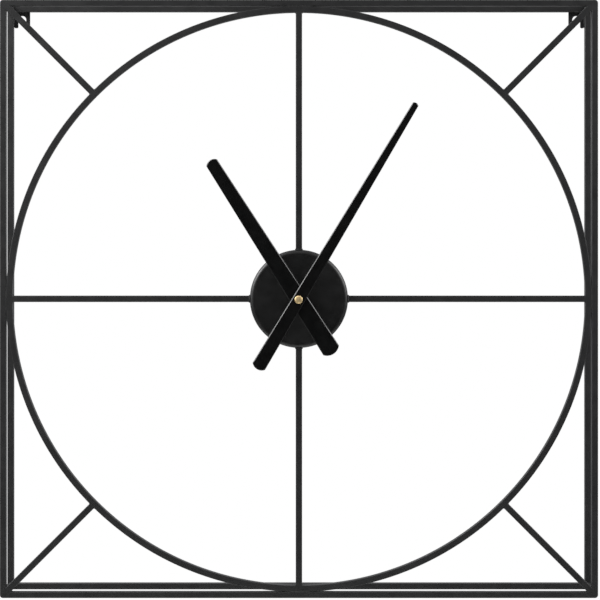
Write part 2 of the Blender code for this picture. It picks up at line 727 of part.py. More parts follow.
def battery_contacts():
    """A flat strip at the raised end, and a plate with a tapered spring at the other."""
    wall = CASE_INSIDE - TOUCH_GAP
    half = CONTACT_WIDTH / 2
    front = BATTERY_Y - half
    back = BATTERY_Y + half
    strip = rectangle(wall - CONTACT_THICK, wall, BATTERY_Z - half, BATTERY_Z + half)
    add_object("contact_positive", prism("contact_positive", strip, front, back), steel())
    spring_end = -BATTERY_LENGTH / 2 - TOUCH_GAP
    profile = [(0, -wall), (SPRING_BASE, -wall), (SPRING_BASE, CONTACT_THICK - wall),
               (SPRING_TIP, spring_end), (0, spring_end)]
    obj = add_object("contact_negative", turned(
        "contact_negative", profile, ROUND_SIDES, axis=(1, 0, 0)), steel())
    obj.location = (0.0, BATTERY_Y, BATTERY_Z)


def circuit_board():
    width, height = BOARD_SIZE
    right = CASE_INSIDE - BOARD_MARGIN
    front = level("fifth")[0]
    back = front + BOARD_THICK
    outline = rectangle(right - width, right, BOARD_BOTTOM, BOARD_BOTTOM + height)
    add_object("circuit_board", prism("circuit_board", outline, front, back), board_green())
    profile = disc_profile(CRYSTAL_RADIUS, -CRYSTAL_LENGTH / 2, CRYSTAL_LENGTH / 2)
    can = add_object("quartz_crystal", turned("quartz_crystal", profile, SMALL_SIDES, axis=(0, 0, 1)),
                     steel())
    can.location = (right - width / 2, back + TOUCH_GAP + CRYSTAL_RADIUS, BOARD_BOTTOM + height / 2)


def stepping_motor():
    """A laminated stator round the rotor, its core running through the coil."""
    rotor_front, rotor_back = level("rotor")
    coil_y = (rotor_front + rotor_back) / 2 - STATOR_THICK
    plate_front = coil_y + CORE_SIDE / 2 - STATOR_THICK / 4
    plate_back = plate_front + STATOR_THICK
    left = ROTOR_AXIS[0] - COIL_LENGTH / 2
    right = ROTOR_AXIS[0] + COIL_LENGTH / 2
    low = ROTOR_AXIS[1] - STATOR_MARGIN
    high = ROTOR_AXIS[1] + STATOR_MARGIN
    core = CORE_SIDE / 2
    end = STATOR_ARM + TOUCH_GAP
    outline = [(left - end, low), (right + end, low), (right + end, COIL_Z + core),
               (right + TOUCH_GAP, COIL_Z + core), (right + TOUCH_GAP, high),
               (left - TOUCH_GAP, high), (left - TOUCH_GAP, COIL_Z + core),
               (left - end, COIL_Z + core)]
    stator = add_object("stator", prism("stator", outline, plate_front, plate_back), steel())
    join(stator, prism("core", rectangle(left - end / 2, right + end / 2, COIL_Z - core, COIL_Z + core),
                       coil_y - core, coil_y + core))
    cut_round(stator, ROTOR_RADIUS + TOUCH_GAP, plate_front - CORE_SIDE, plate_back + CORE_SIDE,
              ROTOR_AXIS)
    coil = add_object("coil", turned("coil", ring_profile(
        COIL_RADIUS, COIL_BORE, left, right), ROUND_SIDES, axis=(1, 0, 0)), copper())
    coil.location = (0.0, coil_y, COIL_Z)


# ---------------------------------------------------------------- hands

def hand_outline(tip, tail, tip_width, tail_width):
    """A tapered blade with shallow round ends, drawn pointing up +Z."""
    points = []
    for end, width, sign in ((tip, tip_width, 1), (tail, tail_width, -1)):
        bulge = width * HAND_END_BULGE
        radius = (width ** 2 / 4 + bulge ** 2) / (2 * bulge)
        spread = asin(width / 2 / radius)
        for step in range(HAND_END_STEPS + 1):
            angle = spread * (1 - 2 * step / HAND_END_STEPS)
            points.append((sign * radius * sin(angle), sign * (end - radius + radius * cos(angle))))
    return points


def hand(name, outline, y_back, hole, turn):
    """A flat blade with bevelled front edges, turned clockwise from twelve by turn degrees."""
    obj = add_object(name, prism(name, outline, y_back - HAND_THICK, y_back, EDGE_SHADING), hand_black())
    obj.data.transform(Matrix.Rotation(radians(turn), 4, "Y"))
    front_edges = obj.data.attributes.new("bevel_weight_edge", "FLOAT", "EDGE")
    for edge in obj.data.edges:
        on_front = all(obj.data.vertices[v].co.y < y_back - HAND_THICK / 2 for v in edge.vertices)
        front_edges.data[edge.index].value = float(on_front)
    bevel = obj.modifiers.new("front_bevel", "BEVEL")
    bevel.limit_method = "WEIGHT"
    bevel.width = HAND_BEVEL
    bevel.segments = 1
    cut_round(obj, hole, y_back - 2 * HAND_THICK, y_back + HAND_THICK)


def hands():
    hand("hour_hand", hand_outline(HOUR_TIP, HOUR_TAIL, HOUR_TIP_WIDTH, HOUR_TAIL_WIDTH),
         HOUR_HAND_Y, HOUR_TUBE + RUNNING_GAP, HOUR_ANGLE)
    hand("minute_hand", hand_outline(MINUTE_TIP, MINUTE_TAIL, MINUTE_TIP_WIDTH, MINUTE_TAIL_WIDTH),
         MINUTE_HAND_Y, MINUTE_ARBOR + RUNNING_GAP, MINUTE_ANGLE)


def cap_nut():
    """The closed nut that holds the minute hand on."""
    front = CAP_NUT_Y - CAP_NUT_LENGTH
    bore = MINUTE_ARBOR + RUNNING_GAP
    bore_end = CAP_NUT_Y - CAP_NUT_GRIP - TOUCH_GAP
    profile = [(0, front), (CAP_NUT_RADIUS - CAP_NUT_ROUND, front),
               (CAP_NUT_RADIUS, front + CAP_NUT_ROUND),
               (CAP_NUT_RADIUS, CAP_NUT_Y), (bore, CAP_NUT_Y), (bore, bore_end), (0, bore_end)]
    add_object("cap_nut", turned("cap_nut", profile, ROUND_SIDES), brass())


def main():
    clear_scene()
    square_frame("front", FRONT_Y)
    square_frame("back", -BAR)
    corner_posts()
    ring()
    spokes()
    corner_braces()
    hanger_plates()
    hub_pan()
    clamp_hardware()
    movement_case()
    middle_plate()
    train_bridge()
    rear_cover()
    motion_work()
    going_train()
    stepping_motor()
    circuit_board()
    battery()
    battery_contacts()
    hands()
    cap_nut()


main()
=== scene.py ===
"""Finished pieces for an open square wall clock: welded square bar, a spun hub, a battery movement, plain hands.

Metres, +Z up.  The face looks along -Y, with +X to the right of the person reading it, and the hands
turn about the Y axis through the origin.  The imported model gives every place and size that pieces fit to.
"""

import json
from math import asin, ceil, cos, degrees, pi, radians, sin, sqrt, tau

import bmesh
import bpy
from bpy.props import FloatProperty, FloatVectorProperty, IntProperty, PointerProperty
from mathutils import Matrix, Vector


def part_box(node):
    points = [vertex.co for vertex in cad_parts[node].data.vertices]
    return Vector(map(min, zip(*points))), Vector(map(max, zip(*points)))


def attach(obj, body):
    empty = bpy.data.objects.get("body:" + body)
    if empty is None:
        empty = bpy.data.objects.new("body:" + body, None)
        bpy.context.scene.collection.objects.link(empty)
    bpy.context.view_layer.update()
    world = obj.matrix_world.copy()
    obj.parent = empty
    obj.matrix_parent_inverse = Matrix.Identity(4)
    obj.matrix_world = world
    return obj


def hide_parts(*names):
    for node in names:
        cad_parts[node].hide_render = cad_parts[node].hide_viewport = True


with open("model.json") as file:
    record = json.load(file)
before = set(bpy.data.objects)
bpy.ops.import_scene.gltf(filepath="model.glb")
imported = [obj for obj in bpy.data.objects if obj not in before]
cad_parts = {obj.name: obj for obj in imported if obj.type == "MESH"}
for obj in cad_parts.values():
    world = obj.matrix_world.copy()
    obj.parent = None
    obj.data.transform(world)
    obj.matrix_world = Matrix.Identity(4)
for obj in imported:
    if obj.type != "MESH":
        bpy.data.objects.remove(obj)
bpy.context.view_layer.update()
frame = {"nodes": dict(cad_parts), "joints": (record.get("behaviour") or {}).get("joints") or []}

bl_info = {
    "name": "Open Square Wall Clock",
    "version": (1, 0, 0),
    "blender": (4, 5, 0),
    "location": "View3D > Sidebar > Wall Clock",
    "description": "Builds the finished pieces of an open square wall clock on its packed model",
    "category": "Add Mesh",
}


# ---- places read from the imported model


TOP_LOW, TOP_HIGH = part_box("front_bar_top")
BACK_LOW, BACK_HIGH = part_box("back_bar_top")
POST_LOW, POST_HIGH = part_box("corner_post_top_right")
HUB_LOW, HUB_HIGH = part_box("hub_pan")
CASE_LOW, CASE_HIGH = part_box("movement_case")
COVER_LOW, COVER_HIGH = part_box("rear_cover")
KNOB_LOW, KNOB_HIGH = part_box("setting_knob")
CELL_LOW, CELL_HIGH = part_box("battery")
HOUR_LOW, HOUR_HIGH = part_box("hour_hand")
MINUTE_LOW, MINUTE_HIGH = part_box("minute_hand")
NUT_LOW, NUT_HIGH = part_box("fixing_nut")
WASHER_LOW, WASHER_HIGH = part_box("fixing_washer")
CAP_LOW, CAP_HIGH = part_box("cap_nut")
JOINTS = {joint["name"]: Vector(joint["pos_m"]) for joint in frame["joints"]}

BAR = TOP_HIGH.z - TOP_LOW.z
HALF_BAR = BAR / 2
HALF_SIDE = POST_HIGH.x
INNER_HALF = POST_LOW.x
JOINT_GAP = INNER_HALF - TOP_HIGH.x
FRONT_Y = POST_LOW.y
FRONT_MIDDLE = FRONT_Y + HALF_BAR
BACK_MIDDLE = (BACK_LOW.y + BACK_HIGH.y) / 2
RING_OUTER = INNER_HALF
RING_INNER = RING_OUTER - BAR
HUB_RADIUS = HUB_HIGH.x
NUT_BORE = WASHER_HIGH.x * 0.57
CASE_WALL = 0.0012
CASE_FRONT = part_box("hub_gasket")[1].y + JOINT_GAP
BUSHING_BORE = 0.0027
HOUR_HOLE = 0.00265
MINUTE_HOLE = 0.00165
HAND_CORNER = 0.00006
PANEL_DEPTH = 0.0004
UP = Vector((0, 0, 1))
DEEP = Vector((0, 1, 0))
AXIS = Vector((0, 0, 0))
RIGHT = Vector((1, 0, 0))
OUTWARDS = (("top", UP), ("bottom", -UP), ("left", -RIGHT), ("right", RIGHT))


# ---- sizes and colours a user would change

def length(name, description, default, least, most):
    return FloatProperty(name=name, description=description, default=default, min=least, max=most, unit="LENGTH")


def tint(name, description, default):
    return FloatVectorProperty(name=name, description=description, default=default, min=0, max=1, subtype="COLOR")


class ClockSizes(bpy.types.PropertyGroup):
    bar_edge: length("Bar edge", "Radius of the long edges of the square bar", 0.0007, 0.0001, 0.002)
    post_corner: length("Post corner", "Radius of the frame's four outer corners", 0.0032, 0.001, 0.0055)
    weld_radius: length("Weld bead", "Radius of the weld beads", 0.0008, 0.0003, 0.003)
    weld_ripple: length("Weld ripple", "Distance from one ripple of a weld to the next", 0.0011, 0.0003, 0.004)
    hub_edge: length("Hub edge", "Radius of the rounded front edge of the hub", 0.0042, 0.0015, 0.008)
    hub_wall: length("Hub wall", "Thickness of the hub's sheet", 0.0012, 0.0005, 0.003)
    hour_tail_width: length("Hour hand, tail width", "Width of the hour hand at its tail", 0.0184, 0.004, 0.03)
    hour_tip_width: length("Hour hand, tip width", "Width of the hour hand at its tip", 0.0127, 0.002, 0.03)
    hour_tip: length("Hour hand, reach", "From the axis to the hour hand's tip", 0.1638, 0.05, 0.25)
    hour_tail: length("Hour hand, tail", "From the axis to the hour hand's tail", 0.0642, 0.01, 0.12)
    minute_tail_width: length("Minute hand, tail width", "Width of the minute hand at its tail", 0.0143, 0.003, 0.03)
    minute_tip_width: length("Minute hand, tip width", "Width of the minute hand at its tip", 0.0065, 0.002, 0.03)
    minute_tip: length("Minute hand, reach", "From the axis to the minute hand's tip", 0.2270, 0.05, 0.28)
    minute_tail: length("Minute hand, tail", "From the axis to the minute hand's tail", 0.0805, 0.01, 0.12)
    hour_angle: FloatProperty(
        name="Hour hand, angle", description="Clockwise from twelve", default=radians(-32.5), subtype="ANGLE")
    minute_angle: FloatProperty(
        name="Minute hand, angle", description="Clockwise from twelve", default=radians(30.9), subtype="ANGLE")
    hand_edge: length("Hand edge", "Width of the sloped edge round the front of each hand", 0.00075, 0.0001, 0.002)
    thread_pitch: length("Bushing thread", "Pitch of the bushing's thread", 0.00075, 0.0003, 0.0015)
    knob_flutes: IntProperty(
        name="Knob flutes", description="Finger grooves round the setting knob",
        default=20, min=8, max=60)


class ClockColours(bpy.types.PropertyGroup):
    coat: tint("Powder coat", "The coat on the bars, ring, spokes and plates", (0.0148, 0.0148, 0.0151))
    hub: tint("Hub paint", "The satin paint on the hub", (0.0024, 0.0024, 0.0024))
    hands: tint("Hand paint", "The paint on both hands", (0.0009, 0.0009, 0.0009))
    case: tint("Movement plastic", "The moulded case, cover and knob", (0.022, 0.022, 0.023))
    gears: tint("Gear plastic", "The moulded wheels", (0.72, 0.71, 0.66))
    brass: tint("Brass", "The cap nut, fixing nut, washer and centre wheel", (0.86, 0.66, 0.36))
    steel: tint("Steel", "The contacts, arbors and stator", (0.58, 0.58, 0.60))
    jacket: tint("Battery jacket", "The plain printed jacket of the cell", (0.10, 0.13, 0.15))


def sizes():
    return bpy.context.scene.wall_clock_sizes


def colours():
    return bpy.context.scene.wall_clock_colours


# ---- finishes

def set_values(node, **values):
    """Sets a node's inputs by their names, given with _ for each space."""
    for name, value in values.items():
        node.inputs[name.replace("_", " ")].default_value = value
    return node


def add_node(tree, kind, **values):
    return set_values(tree.nodes.new(f"ShaderNode{kind}"), **values)


def finish(name, colour, roughness, metallic=0.0, specular=0.5):
    """A new material with its even values on the shader, and object coordinates ready for its texture."""
    made = bpy.data.materials.new(name)
    made.use_nodes = True
    set_values(made.node_tree.nodes["Principled BSDF"], Base_Color=(*colour, 1), Roughness=roughness,
               Metallic=metallic, Specular_IOR_Level=specular)
    add_node(made.node_tree, "TexCoord")
    return made


def add_texture(made, kind, **values):
    """A texture node that follows the object's own coordinates."""
    tree = made.node_tree
    texture = add_node(tree, kind, **values)
    tree.links.new(tree.nodes["Texture Coordinate"].outputs["Object"], texture.inputs["Vector"])
    return texture


def noise(made, cell, detail=3.0):
    """The value of a noise whose features are about cell metres across."""
    return add_texture(made, "TexNoise", Scale=1 / cell, Detail=detail, Roughness=0.55).outputs["Fac"]


def vary_colour(made, value, dark, light):
    """Runs the base colour from dark to light with a texture's value."""
    tree = made.node_tree
    ramp = add_node(tree, "ValToRGB")
    for element, position, colour in zip(ramp.color_ramp.elements, (0.3, 0.7), (dark, light)):
        element.position = position
        element.color = (*colour, 1)
    tree.links.new(value, ramp.inputs["Fac"])
    tree.links.new(ramp.outputs["Color"], tree.nodes["Principled BSDF"].inputs["Base Color"])


def vary_roughness(made, value, low, high):
    tree = made.node_tree
    spread = add_node(tree, "MapRange", From_Min=0.3, From_Max=0.7, To_Min=low, To_Max=high)
    tree.links.new(value, spread.inputs["Value"])
    tree.links.new(spread.outputs["Result"], tree.nodes["Principled BSDF"].inputs["Roughness"])


def raise_surface(made, value, height):
    """Adds a bump of the given height in metres, on top of any bump the finish already has."""
    tree = made.node_tree
    normal = tree.nodes["Principled BSDF"].inputs["Normal"]
    bump = add_node(tree, "Bump", Distance=height, Strength=1.0)
    tree.links.new(value, bump.inputs["Height"])
    if normal.is_linked:
        tree.links.new(normal.links[0].from_socket, bump.inputs["Normal"])
    tree.links.new(bump.outputs["Normal"], normal)


def turning_marks(made, spacing, height):
    """Fine rings left by a lathe round the axis of the hands."""
    rings = add_texture(made, "TexWave", Scale=1 / (spacing * 3), Distortion=0.6, Detail=1.0)
    rings.wave_type = "RINGS"
    rings.rings_direction = "Y"
    raise_surface(made, rings.outputs["Fac"], height)


def shade(colour, amount):
    return tuple(min(1.0, channel * amount) for channel in colour)


def textured(name, colour, roughness, tone, bumps=(), sheen=None, tone_detail=3.0, **kind):
    """A finish whose colour, roughness and surface vary a little.

    tone is (feature size, darkest share, lightest share), sheen is (feature size, least roughness, most
    roughness), and each bump is (feature size, detail, height).
    """
    made = finish(name, colour, roughness, **kind)
    cell, dark, light = tone
    vary_colour(made, noise(made, cell, tone_detail), shade(colour, dark), shade(colour, light))
    if sheen:
        cell, low, high = sheen
        vary_roughness(made, noise(made, cell), low, high)
    for cell, detail, height in bumps:
        raise_surface(made, noise(made, cell, detail), height)
    return made


def powder_coat():
    return textured("powder_coat", colours().coat, 0.46, (0.035, 0.86, 1.16),
                    ((0.0011, 2.0, 0.000012), (0.00035, 2.0, 0.000004)), (0.012, 0.40, 0.52), specular=0.43)


def hub_paint():
    return textured("hub_paint", colours().hub, 0.46, (0.02, 0.88, 1.14),
                    ((0.0007, 2.0, 0.000009),), (0.008, 0.40, 0.52), specular=0.44)


def hand_paint():
    return textured("hand_paint", colours().hands, 0.34, (0.03, 0.85, 1.2),
                    ((0.0016, 1.0, 0.000006),), (0.01, 0.30, 0.38), specular=0.36)


def moulded_plastic():
    return textured("moulded_plastic", colours().case, 0.48, (0.01, 0.9, 1.12),
                    ((0.00028, 3.0, 0.00001),), (0.003, 0.42, 0.56))


def gear_plastic():
    return textured("gear_plastic", colours().gears, 0.38, (0.004, 0.94, 1.04),
                    ((0.0002, 2.0, 0.000003),), (0.002, 0.33, 0.44))


def turned_brass():
    made = textured("turned_brass", colours().brass, 0.48, (0.003, 0.92, 1.08),
                    sheen=(0.0009, 0.44, 0.54), metallic=1.0)
    turning_marks(made, 0.00012, 0.0000012)
    return made


def plated_steel():
    return textured("plated_steel", colours().steel, 0.28, (0.003, 0.9, 1.08),
                    ((0.00025, 2.0, 0.000002),), (0.0008, 0.22, 0.36), metallic=1.0)


def gasket_rubber():
    return textured("gasket_rubber", (0.014, 0.014, 0.014), 0.82, (0.002, 0.85, 1.3),
                    ((0.0003, 3.0, 0.000012),), specular=0.3)


def copper_winding():
    """Fine enamelled wire wound in turns along X."""
    made = textured("copper_winding", (0.62, 0.25, 0.11), 0.32, (0.0012, 0.8, 1.15), metallic=1.0)
    turns = add_texture(made, "TexWave", Scale=1 / 0.0004)
    turns.bands_direction = "X"
    raise_surface(made, turns.outputs["Fac"], 0.00003)
    return made


def board_lacquer():
    return textured("board_lacquer", (0.018, 0.11, 0.045), 0.4, (0.0009, 0.75, 1.35),
                    ((0.0005, 1.0, 0.000008),), tone_detail=1.0)


def battery_film():
    return textured("battery_film", colours().jacket, 0.30, (0.006, 0.92, 1.1),
                    ((0.0012, 1.0, 0.000004),), (0.003, 0.24, 0.36))


def pale_band():
    return textured("battery_band", (0.62, 0.63, 0.62), 0.34, (0.004, 0.95, 1.04), ((0.0012, 1.0, 0.000004),))


MADE = {}


def made_once(maker):
    """The material that a finish function makes, made the first time it is asked for."""
    if maker not in MADE:
        MADE[maker] = maker()
    return MADE[maker]


# ---- shapes

def add_object(name, data):
    made = bpy.data.objects.new(name, data)
    bpy.context.scene.collection.objects.link(made)
    return made


def piece_from(bm, name, maker, flat_above=radians(32)):
    """Turns a bmesh into a linked object with its finish, smooth but for edges sharper than flat_above."""
    bmesh.ops.remove_doubles(bm, verts=bm.verts, dist=1e-7)
    bmesh.ops.dissolve_degenerate(bm, edges=bm.edges, dist=1e-8)
    bmesh.ops.delete(bm, geom=[edge for edge in bm.edges if not edge.link_faces], context="EDGES")
    bmesh.ops.recalc_face_normals(bm, faces=bm.faces)
    mesh = bpy.data.meshes.new(name)
    bm.to_mesh(mesh)
    bm.free()
    mesh.materials.append(made_once(maker))
    mesh.shade_smooth()
    mesh.set_sharp_from_angle(angle=flat_above)
    return add_object(name, mesh)


def settle(piece):
    """Keeps the result of the piece's modifiers as its mesh."""
    graph = bpy.context.evaluated_depsgraph_get()
    piece.data = bpy.data.meshes.new_from_object(piece.evaluated_get(graph))
    piece.modifiers.clear()
    return piece


def even_flats(piece):
    """Keeps flat faces evenly shaded next to their rounded edges."""
    weighted = piece.modifiers.new("even_flats", "WEIGHTED_NORMAL")
    weighted.keep_sharp = True
    weighted.weight = 100
    return settle(piece)


def round_edges(piece, width, segments, above, flat_above=radians(50)):
    """Rounds the edges sharper than above, and leaves those sharper than flat_above without smooth shading."""
    bevel = piece.modifiers.new("rounded_edges", "BEVEL")
    bevel.width = width
    bevel.segments = segments
    bevel.limit_method = "ANGLE"
    bevel.angle_limit = above
    settle(piece)
    piece.data.shade_smooth()
    piece.data.set_sharp_from_angle(angle=flat_above)
    even_flats(piece)


def carve(piece, *cutters):
    """Cuts each cutter away from the piece and removes it."""
    for cutter in cutters:
        cut = piece.modifiers.new("cut", "BOOLEAN")
        cut.operation = "DIFFERENCE"
        cut.object = cutter
        settle(piece)
        bpy.data.objects.remove(cutter)
    return piece


def loft(bm, loops, closed=False, fold=None):
    """Skins equal loops of points in order and caps both ends, unless the loops come back round.

    fold gives the two places on the last loop between which its cap is folded.
    """
    rows = [[bm.verts.new(point) for point in loop] for loop in loops]
    pairs = list(zip(rows, rows[1:]))
    if closed:
        pairs.append((rows[-1], rows[0]))
    for one, other in pairs:
        for i in range(len(one)):
            bm.faces.new((one[i - 1], one[i], other[i], other[i - 1]))
    if closed:
        return
    bm.faces.new(rows[0])
    cap = bm.faces.new(rows[-1])
    if fold:
        bmesh.utils.face_split(cap, rows[-1][fold[0]], rows[-1][fold[1]])


def radial(axis, angle):
    """The unit direction at this angle round an axis that is X, Y or Z."""
    if axis == "X":
        return Vector((0, cos(angle), sin(angle)))
    if axis == "Y":
        return Vector((cos(angle), 0, sin(angle)))
    return Vector((cos(angle), sin(angle), 0))


def axis_vector(axis):
    return Vector((axis == "X", axis == "Y", axis == "Z"))


def spun(bm, profile, steps, centre=AXIS, axis="Y"):
    """Turns a closed profile of (radius, distance along the axis) points all the way round."""
    along = axis_vector(axis)
    loops = []
    for step in range(steps):
        out = radial(axis, tau * step / steps)
        loops.append([centre + out * radius + along * distance for radius, distance in profile])
    loft(bm, loops, closed=True)


def rod(radius, start, end):
    """The profile of a plain rod, to be turned."""
    return [(0, start), (radius, start), (radius, end), (0, end)]


def turned(name, profile, steps, maker, centre=AXIS, axis="Y", flat_above=radians(32)):
    """A piece turned from one closed profile."""
    bm = bmesh.new()
    spun(bm, profile, steps, centre, axis)
    return piece_from(bm, name, maker, flat_above)


def shaped(bm, stations, radius_at, steps, centre=AXIS, axis="Y", closed=False):
    """Skins loops at each (distance, size) station, whose radius at an angle is radius_at(angle, size)."""
    along = axis_vector(axis)
    loops = []
    for distance, size in stations:
        angles = [tau * step / steps for step in range(steps)]
        loops.append([centre + radial(axis, a) * radius_at(a, size) + along * distance for a in angles])
    loft(bm, loops, closed)


def arc(centre_x, centre_y, radius, start, end, steps):
    """Points on an arc from start to end, in degrees, both ends included."""
    turns = [radians(start + (end - start) * step / steps) for step in range(steps + 1)]
    return [(centre_x + radius * cos(a), centre_y + radius * sin(a)) for a in turns]


def rounded_box_outline(left, right, bottom, top, radius, steps=6):
    return (arc(right - radius, top - radius, radius, 0, 90, steps)
            + arc(left + radius, top - radius, radius, 90, 180, steps)
            + arc(left + radius, bottom + radius, radius, 180, 270, steps)
            + arc(right - radius, bottom + radius, radius, 270, 360, steps))


def box_outline(left, right, bottom, top):
    return [(left, bottom), (right, bottom), (right, top), (left, top)]


def slab(bm, outline, y_front, y_back):
    """A plate of constant thickness on a closed outline of (x, z) points."""
    loft(bm, [[Vector((x, y, z)) for x, z in outline] for y in (y_front, y_back)])


def side_slab(bm, outline, x_left, x_right):
    """A plate that faces along X, on a closed outline of (y, z) points."""
    loft(bm, [[Vector((x, y, z)) for y, z in outline] for x in (x_left, x_right)])


def plate_piece(name, outline, y_front, y_back, maker):
    bm = bmesh.new()
    slab(bm, outline, y_front, y_back)
    return piece_from(bm, name, maker)


def stands_for(piece, body, slot, *nodes):
    """Fixes the piece to its body and takes the place of its nodes; the slot argument is not used."""
    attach(piece, body)
    if nodes:
        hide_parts(*nodes)


# ---- bars

def bar_section():
    """The bar's rounded square, with a point in the middle of each side, as (across, deep) points."""
    edge = sizes().bar_edge
    centre = HALF_BAR - edge
    points = []
    for quarter, (x, y) in enumerate(((1, 1), (-1, 1), (-1, -1), (1, -1))):
        start = 90 * quarter
        points += arc(centre * x, centre * y, edge, start, start + 90, 4)
        middle = radians(start + 90)
        points.append((HALF_BAR * cos(middle), HALF_BAR * sin(middle)))
    return points


def bar_piece(name, start, end, pointed=0.0):
    """A rounded square bar between two points; a pointed end runs out to a right-angled tip."""
    along = (end - start).normalized()
    across = along.cross(DEEP)
    section = bar_section()
    on_middle = [place for place, (u, _) in enumerate(section) if abs(u) < 1e-6]
    bm = bmesh.new()
    first = [start + across * u + DEEP * v for u, v in section]
    last = [end + across * u + DEEP * v - along * abs(u) * pointed for u, v in section]
    loft(bm, [first, last], fold=on_middle if pointed else None)
    return even_flats(piece_from(bm, name, powder_coat))


def square_bars(prefix, y_middle):
    """The four bars of the front or back square, run into the posts so that their faces meet."""
    reach = INNER_HALF + sizes().bar_edge
    for side, out in OUTWARDS:
        direction = RIGHT if out.z else UP
        centre = out * (HALF_SIDE - HALF_BAR) + DEEP * y_middle
        name = f"{prefix}_bar_{side}"
        piece = bar_piece(f"{name}_coated", centre - direction * reach, centre + direction * reach)
        stands_for(piece, "frame", "frame_coat", name)


def post_outline(inset, x_sign, z_sign):
    """A post's section: three small corners and the frame's rounded outer corner."""
    edge = max(sizes().bar_edge - inset, 0.0)
    big = sizes().post_corner - inset
    low = INNER_HALF + inset
    high = HALF_SIDE - inset
    outline = (arc(high - big, high - big, big, 0, 90, 10)
               + arc(low + edge, high - edge, edge, 90, 180, 4)
               + arc(low + edge, low + edge, edge, 180, 270, 4)
               + arc(high - edge, low + edge, edge, 270, 360, 4))
    return [(x * x_sign, z * z_sign) for x, z in outline]


def corner_posts():
    edge = sizes().bar_edge
    steps = 4
    turns = [step / steps * pi / 2 for step in range(steps + 1)]
    stations = [(FRONT_Y + edge * (1 - cos(a)), edge * (1 - sin(a))) for a in turns]
    stations += [(-edge * (1 - cos(a)), edge * (1 - sin(a))) for a in reversed(turns)]
    for name, x_sign, z_sign in (("top_left", -1, 1), ("top_right", 1, 1),
                                 ("bottom_left", -1, -1), ("bottom_right", 1, -1)):
        bm = bmesh.new()
        loft(bm, [[Vector((x, y, z)) for x, z in post_outline(inset, x_sign, z_sign)]
                  for y, inset in stations])
        piece = even_flats(piece_from(bm, f"corner_post_{name}_coated", powder_coat))
        stands_for(piece, "frame", "frame_coat", f"corner_post_{name}")


def dial_ring():
    """The ring of bent bar, which touches the front square at four places."""
    middle = (RING_OUTER + RING_INNER) / 2
    profile = [(middle + u, FRONT_MIDDLE + v) for u, v in bar_section()]
    stands_for(even_flats(turned("ring_coated", profile, 288, powder_coat)), "frame", "frame_coat", "ring")


def brace_directions():
    names = ("top_right", "top_left", "bottom_left", "bottom_right")
    return [(name, radial("Y", radians(45 + 90 * turn))) for turn, name in enumerate(names)]


def radiating_bars(prefix, directions, inner, outer, pointed=0.0):
    """Bars in the ring's plane that run outwards between two distances from the axis."""
    depth = DEEP * FRONT_MIDDLE
    for name, out in directions:
        piece = bar_piece(f"{prefix}_{name}_coated", out * inner + depth, out * outer + depth, pointed)
        stands_for(piece, "frame", "frame_coat", f"{prefix}_{name}")


def spokes():
    radiating_bars("spoke", OUTWARDS, HUB_RADIUS - sizes().hub_wall * 0.9, RING_INNER + sizes().bar_edge)


def corner_braces():
    """Diagonal bars from the ring to the frame's inner corners, each with a right-angled tip."""
    edge = sizes().bar_edge
    radiating_bars("corner_brace", brace_directions(), RING_OUTER - edge, (INNER_HALF + edge) * sqrt(2), pointed=1.0)


def hanger_plates():
    """Plates with a round-topped slot, welded into the back square's upper corners."""
    slot, web, toe = 0.0041, 0.0034, 0.0015
    for name in ("left", "right"):
        low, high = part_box(f"hanger_plate_{name}")
        middle = (low.x + high.x) / 2
        half = (high.x - low.x) / 2
        top = high.z + JOINT_GAP
        slot_centre = high.z - web - slot
        wall_side = 1 if name == "right" else -1
        outline = arc(slot + toe, low.z + toe, toe, 180, 270, 5)
        outline += arc(half - toe, low.z + toe, toe, 270, 360, 5)
        outline += [(half, top), (-half, top)]
        outline += arc(-half + toe, low.z + toe, toe, 180, 270, 5)
        outline += arc(-slot - toe, low.z + toe, toe, 270, 360, 5)
        outline += arc(0, slot_centre, slot, 180, 0, 20)
        placed = [(middle + x + (JOINT_GAP * wall_side if x * wall_side >= half - toe else 0), z)
                  for x, z in outline]
        piece = plate_piece(f"hanger_plate_{name}_coated", placed, low.y, high.y, powder_coat)
        round_edges(piece, 0.00035, 2, radians(60))
        stands_for(piece, "frame", "frame_coat", f"hanger_plate_{name}")


# ---- welds

def bead(bm, points, radius):
    """A rippled weld bead along straight runs between points, tapering at both ends."""
    runs = list(zip(points, points[1:]))
    length = sum((b - a).length for a, b in runs)
    count = max(6, ceil(length / (sizes().weld_ripple / 5)))
    loops = []
    for step in range(count + 1):
        travelled = length * step / count
        ripple = 1 + 0.11 * cos(tau * travelled / sizes().weld_ripple)
        taper = max(0.05, sin(pi * step / count)) ** 0.28
        left = travelled
        for a, b in runs:
            if left <= (b - a).length or (a, b) == runs[-1]:
                break
            left -= (b - a).length
        along = (b - a).normalized()
        centre = a + along * left
        side = along.cross(DEEP if abs(along.y) < 0.9 else UP).normalized()
        lift = along.cross(side)
        sweep = [tau * turn / 10 for turn in range(10)]
        loops.append([centre + (side * cos(t) + lift * sin(t)) * radius * ripple * taper for t in sweep])
    loft(bm, loops)


def lay_beads(name, runs):
    """Lays one bead along each run, given as its points and its radius."""
    bm = bmesh.new()
    for points, radius in runs:
        bead(bm, points, radius)
    stands_for(piece_from(bm, name, powder_coat, radians(60)), "frame", "frame_coat")


def hub_welds():
    """A bead round each spoke where it meets the hub."""
    radius = sizes().weld_radius
    half = HALF_BAR + radius * 0.15
    runs = []
    for _, out in OUTWARDS:
        across = out.cross(DEEP)
        centre = out * (HUB_RADIUS + radius * 0.45) + DEEP * FRONT_MIDDLE
        front = centre - DEEP * half
        back = centre + DEEP * half
        left, right = front - across * half * 0.9, front + across * half * 0.9
        runs += [([back - across * half, left], radius), ([left, right], radius * 0.8),
                 ([right, back + across * half], radius),
                 ([back - across * half, back + across * half], radius)]
    lay_beads("hub_welds", runs)


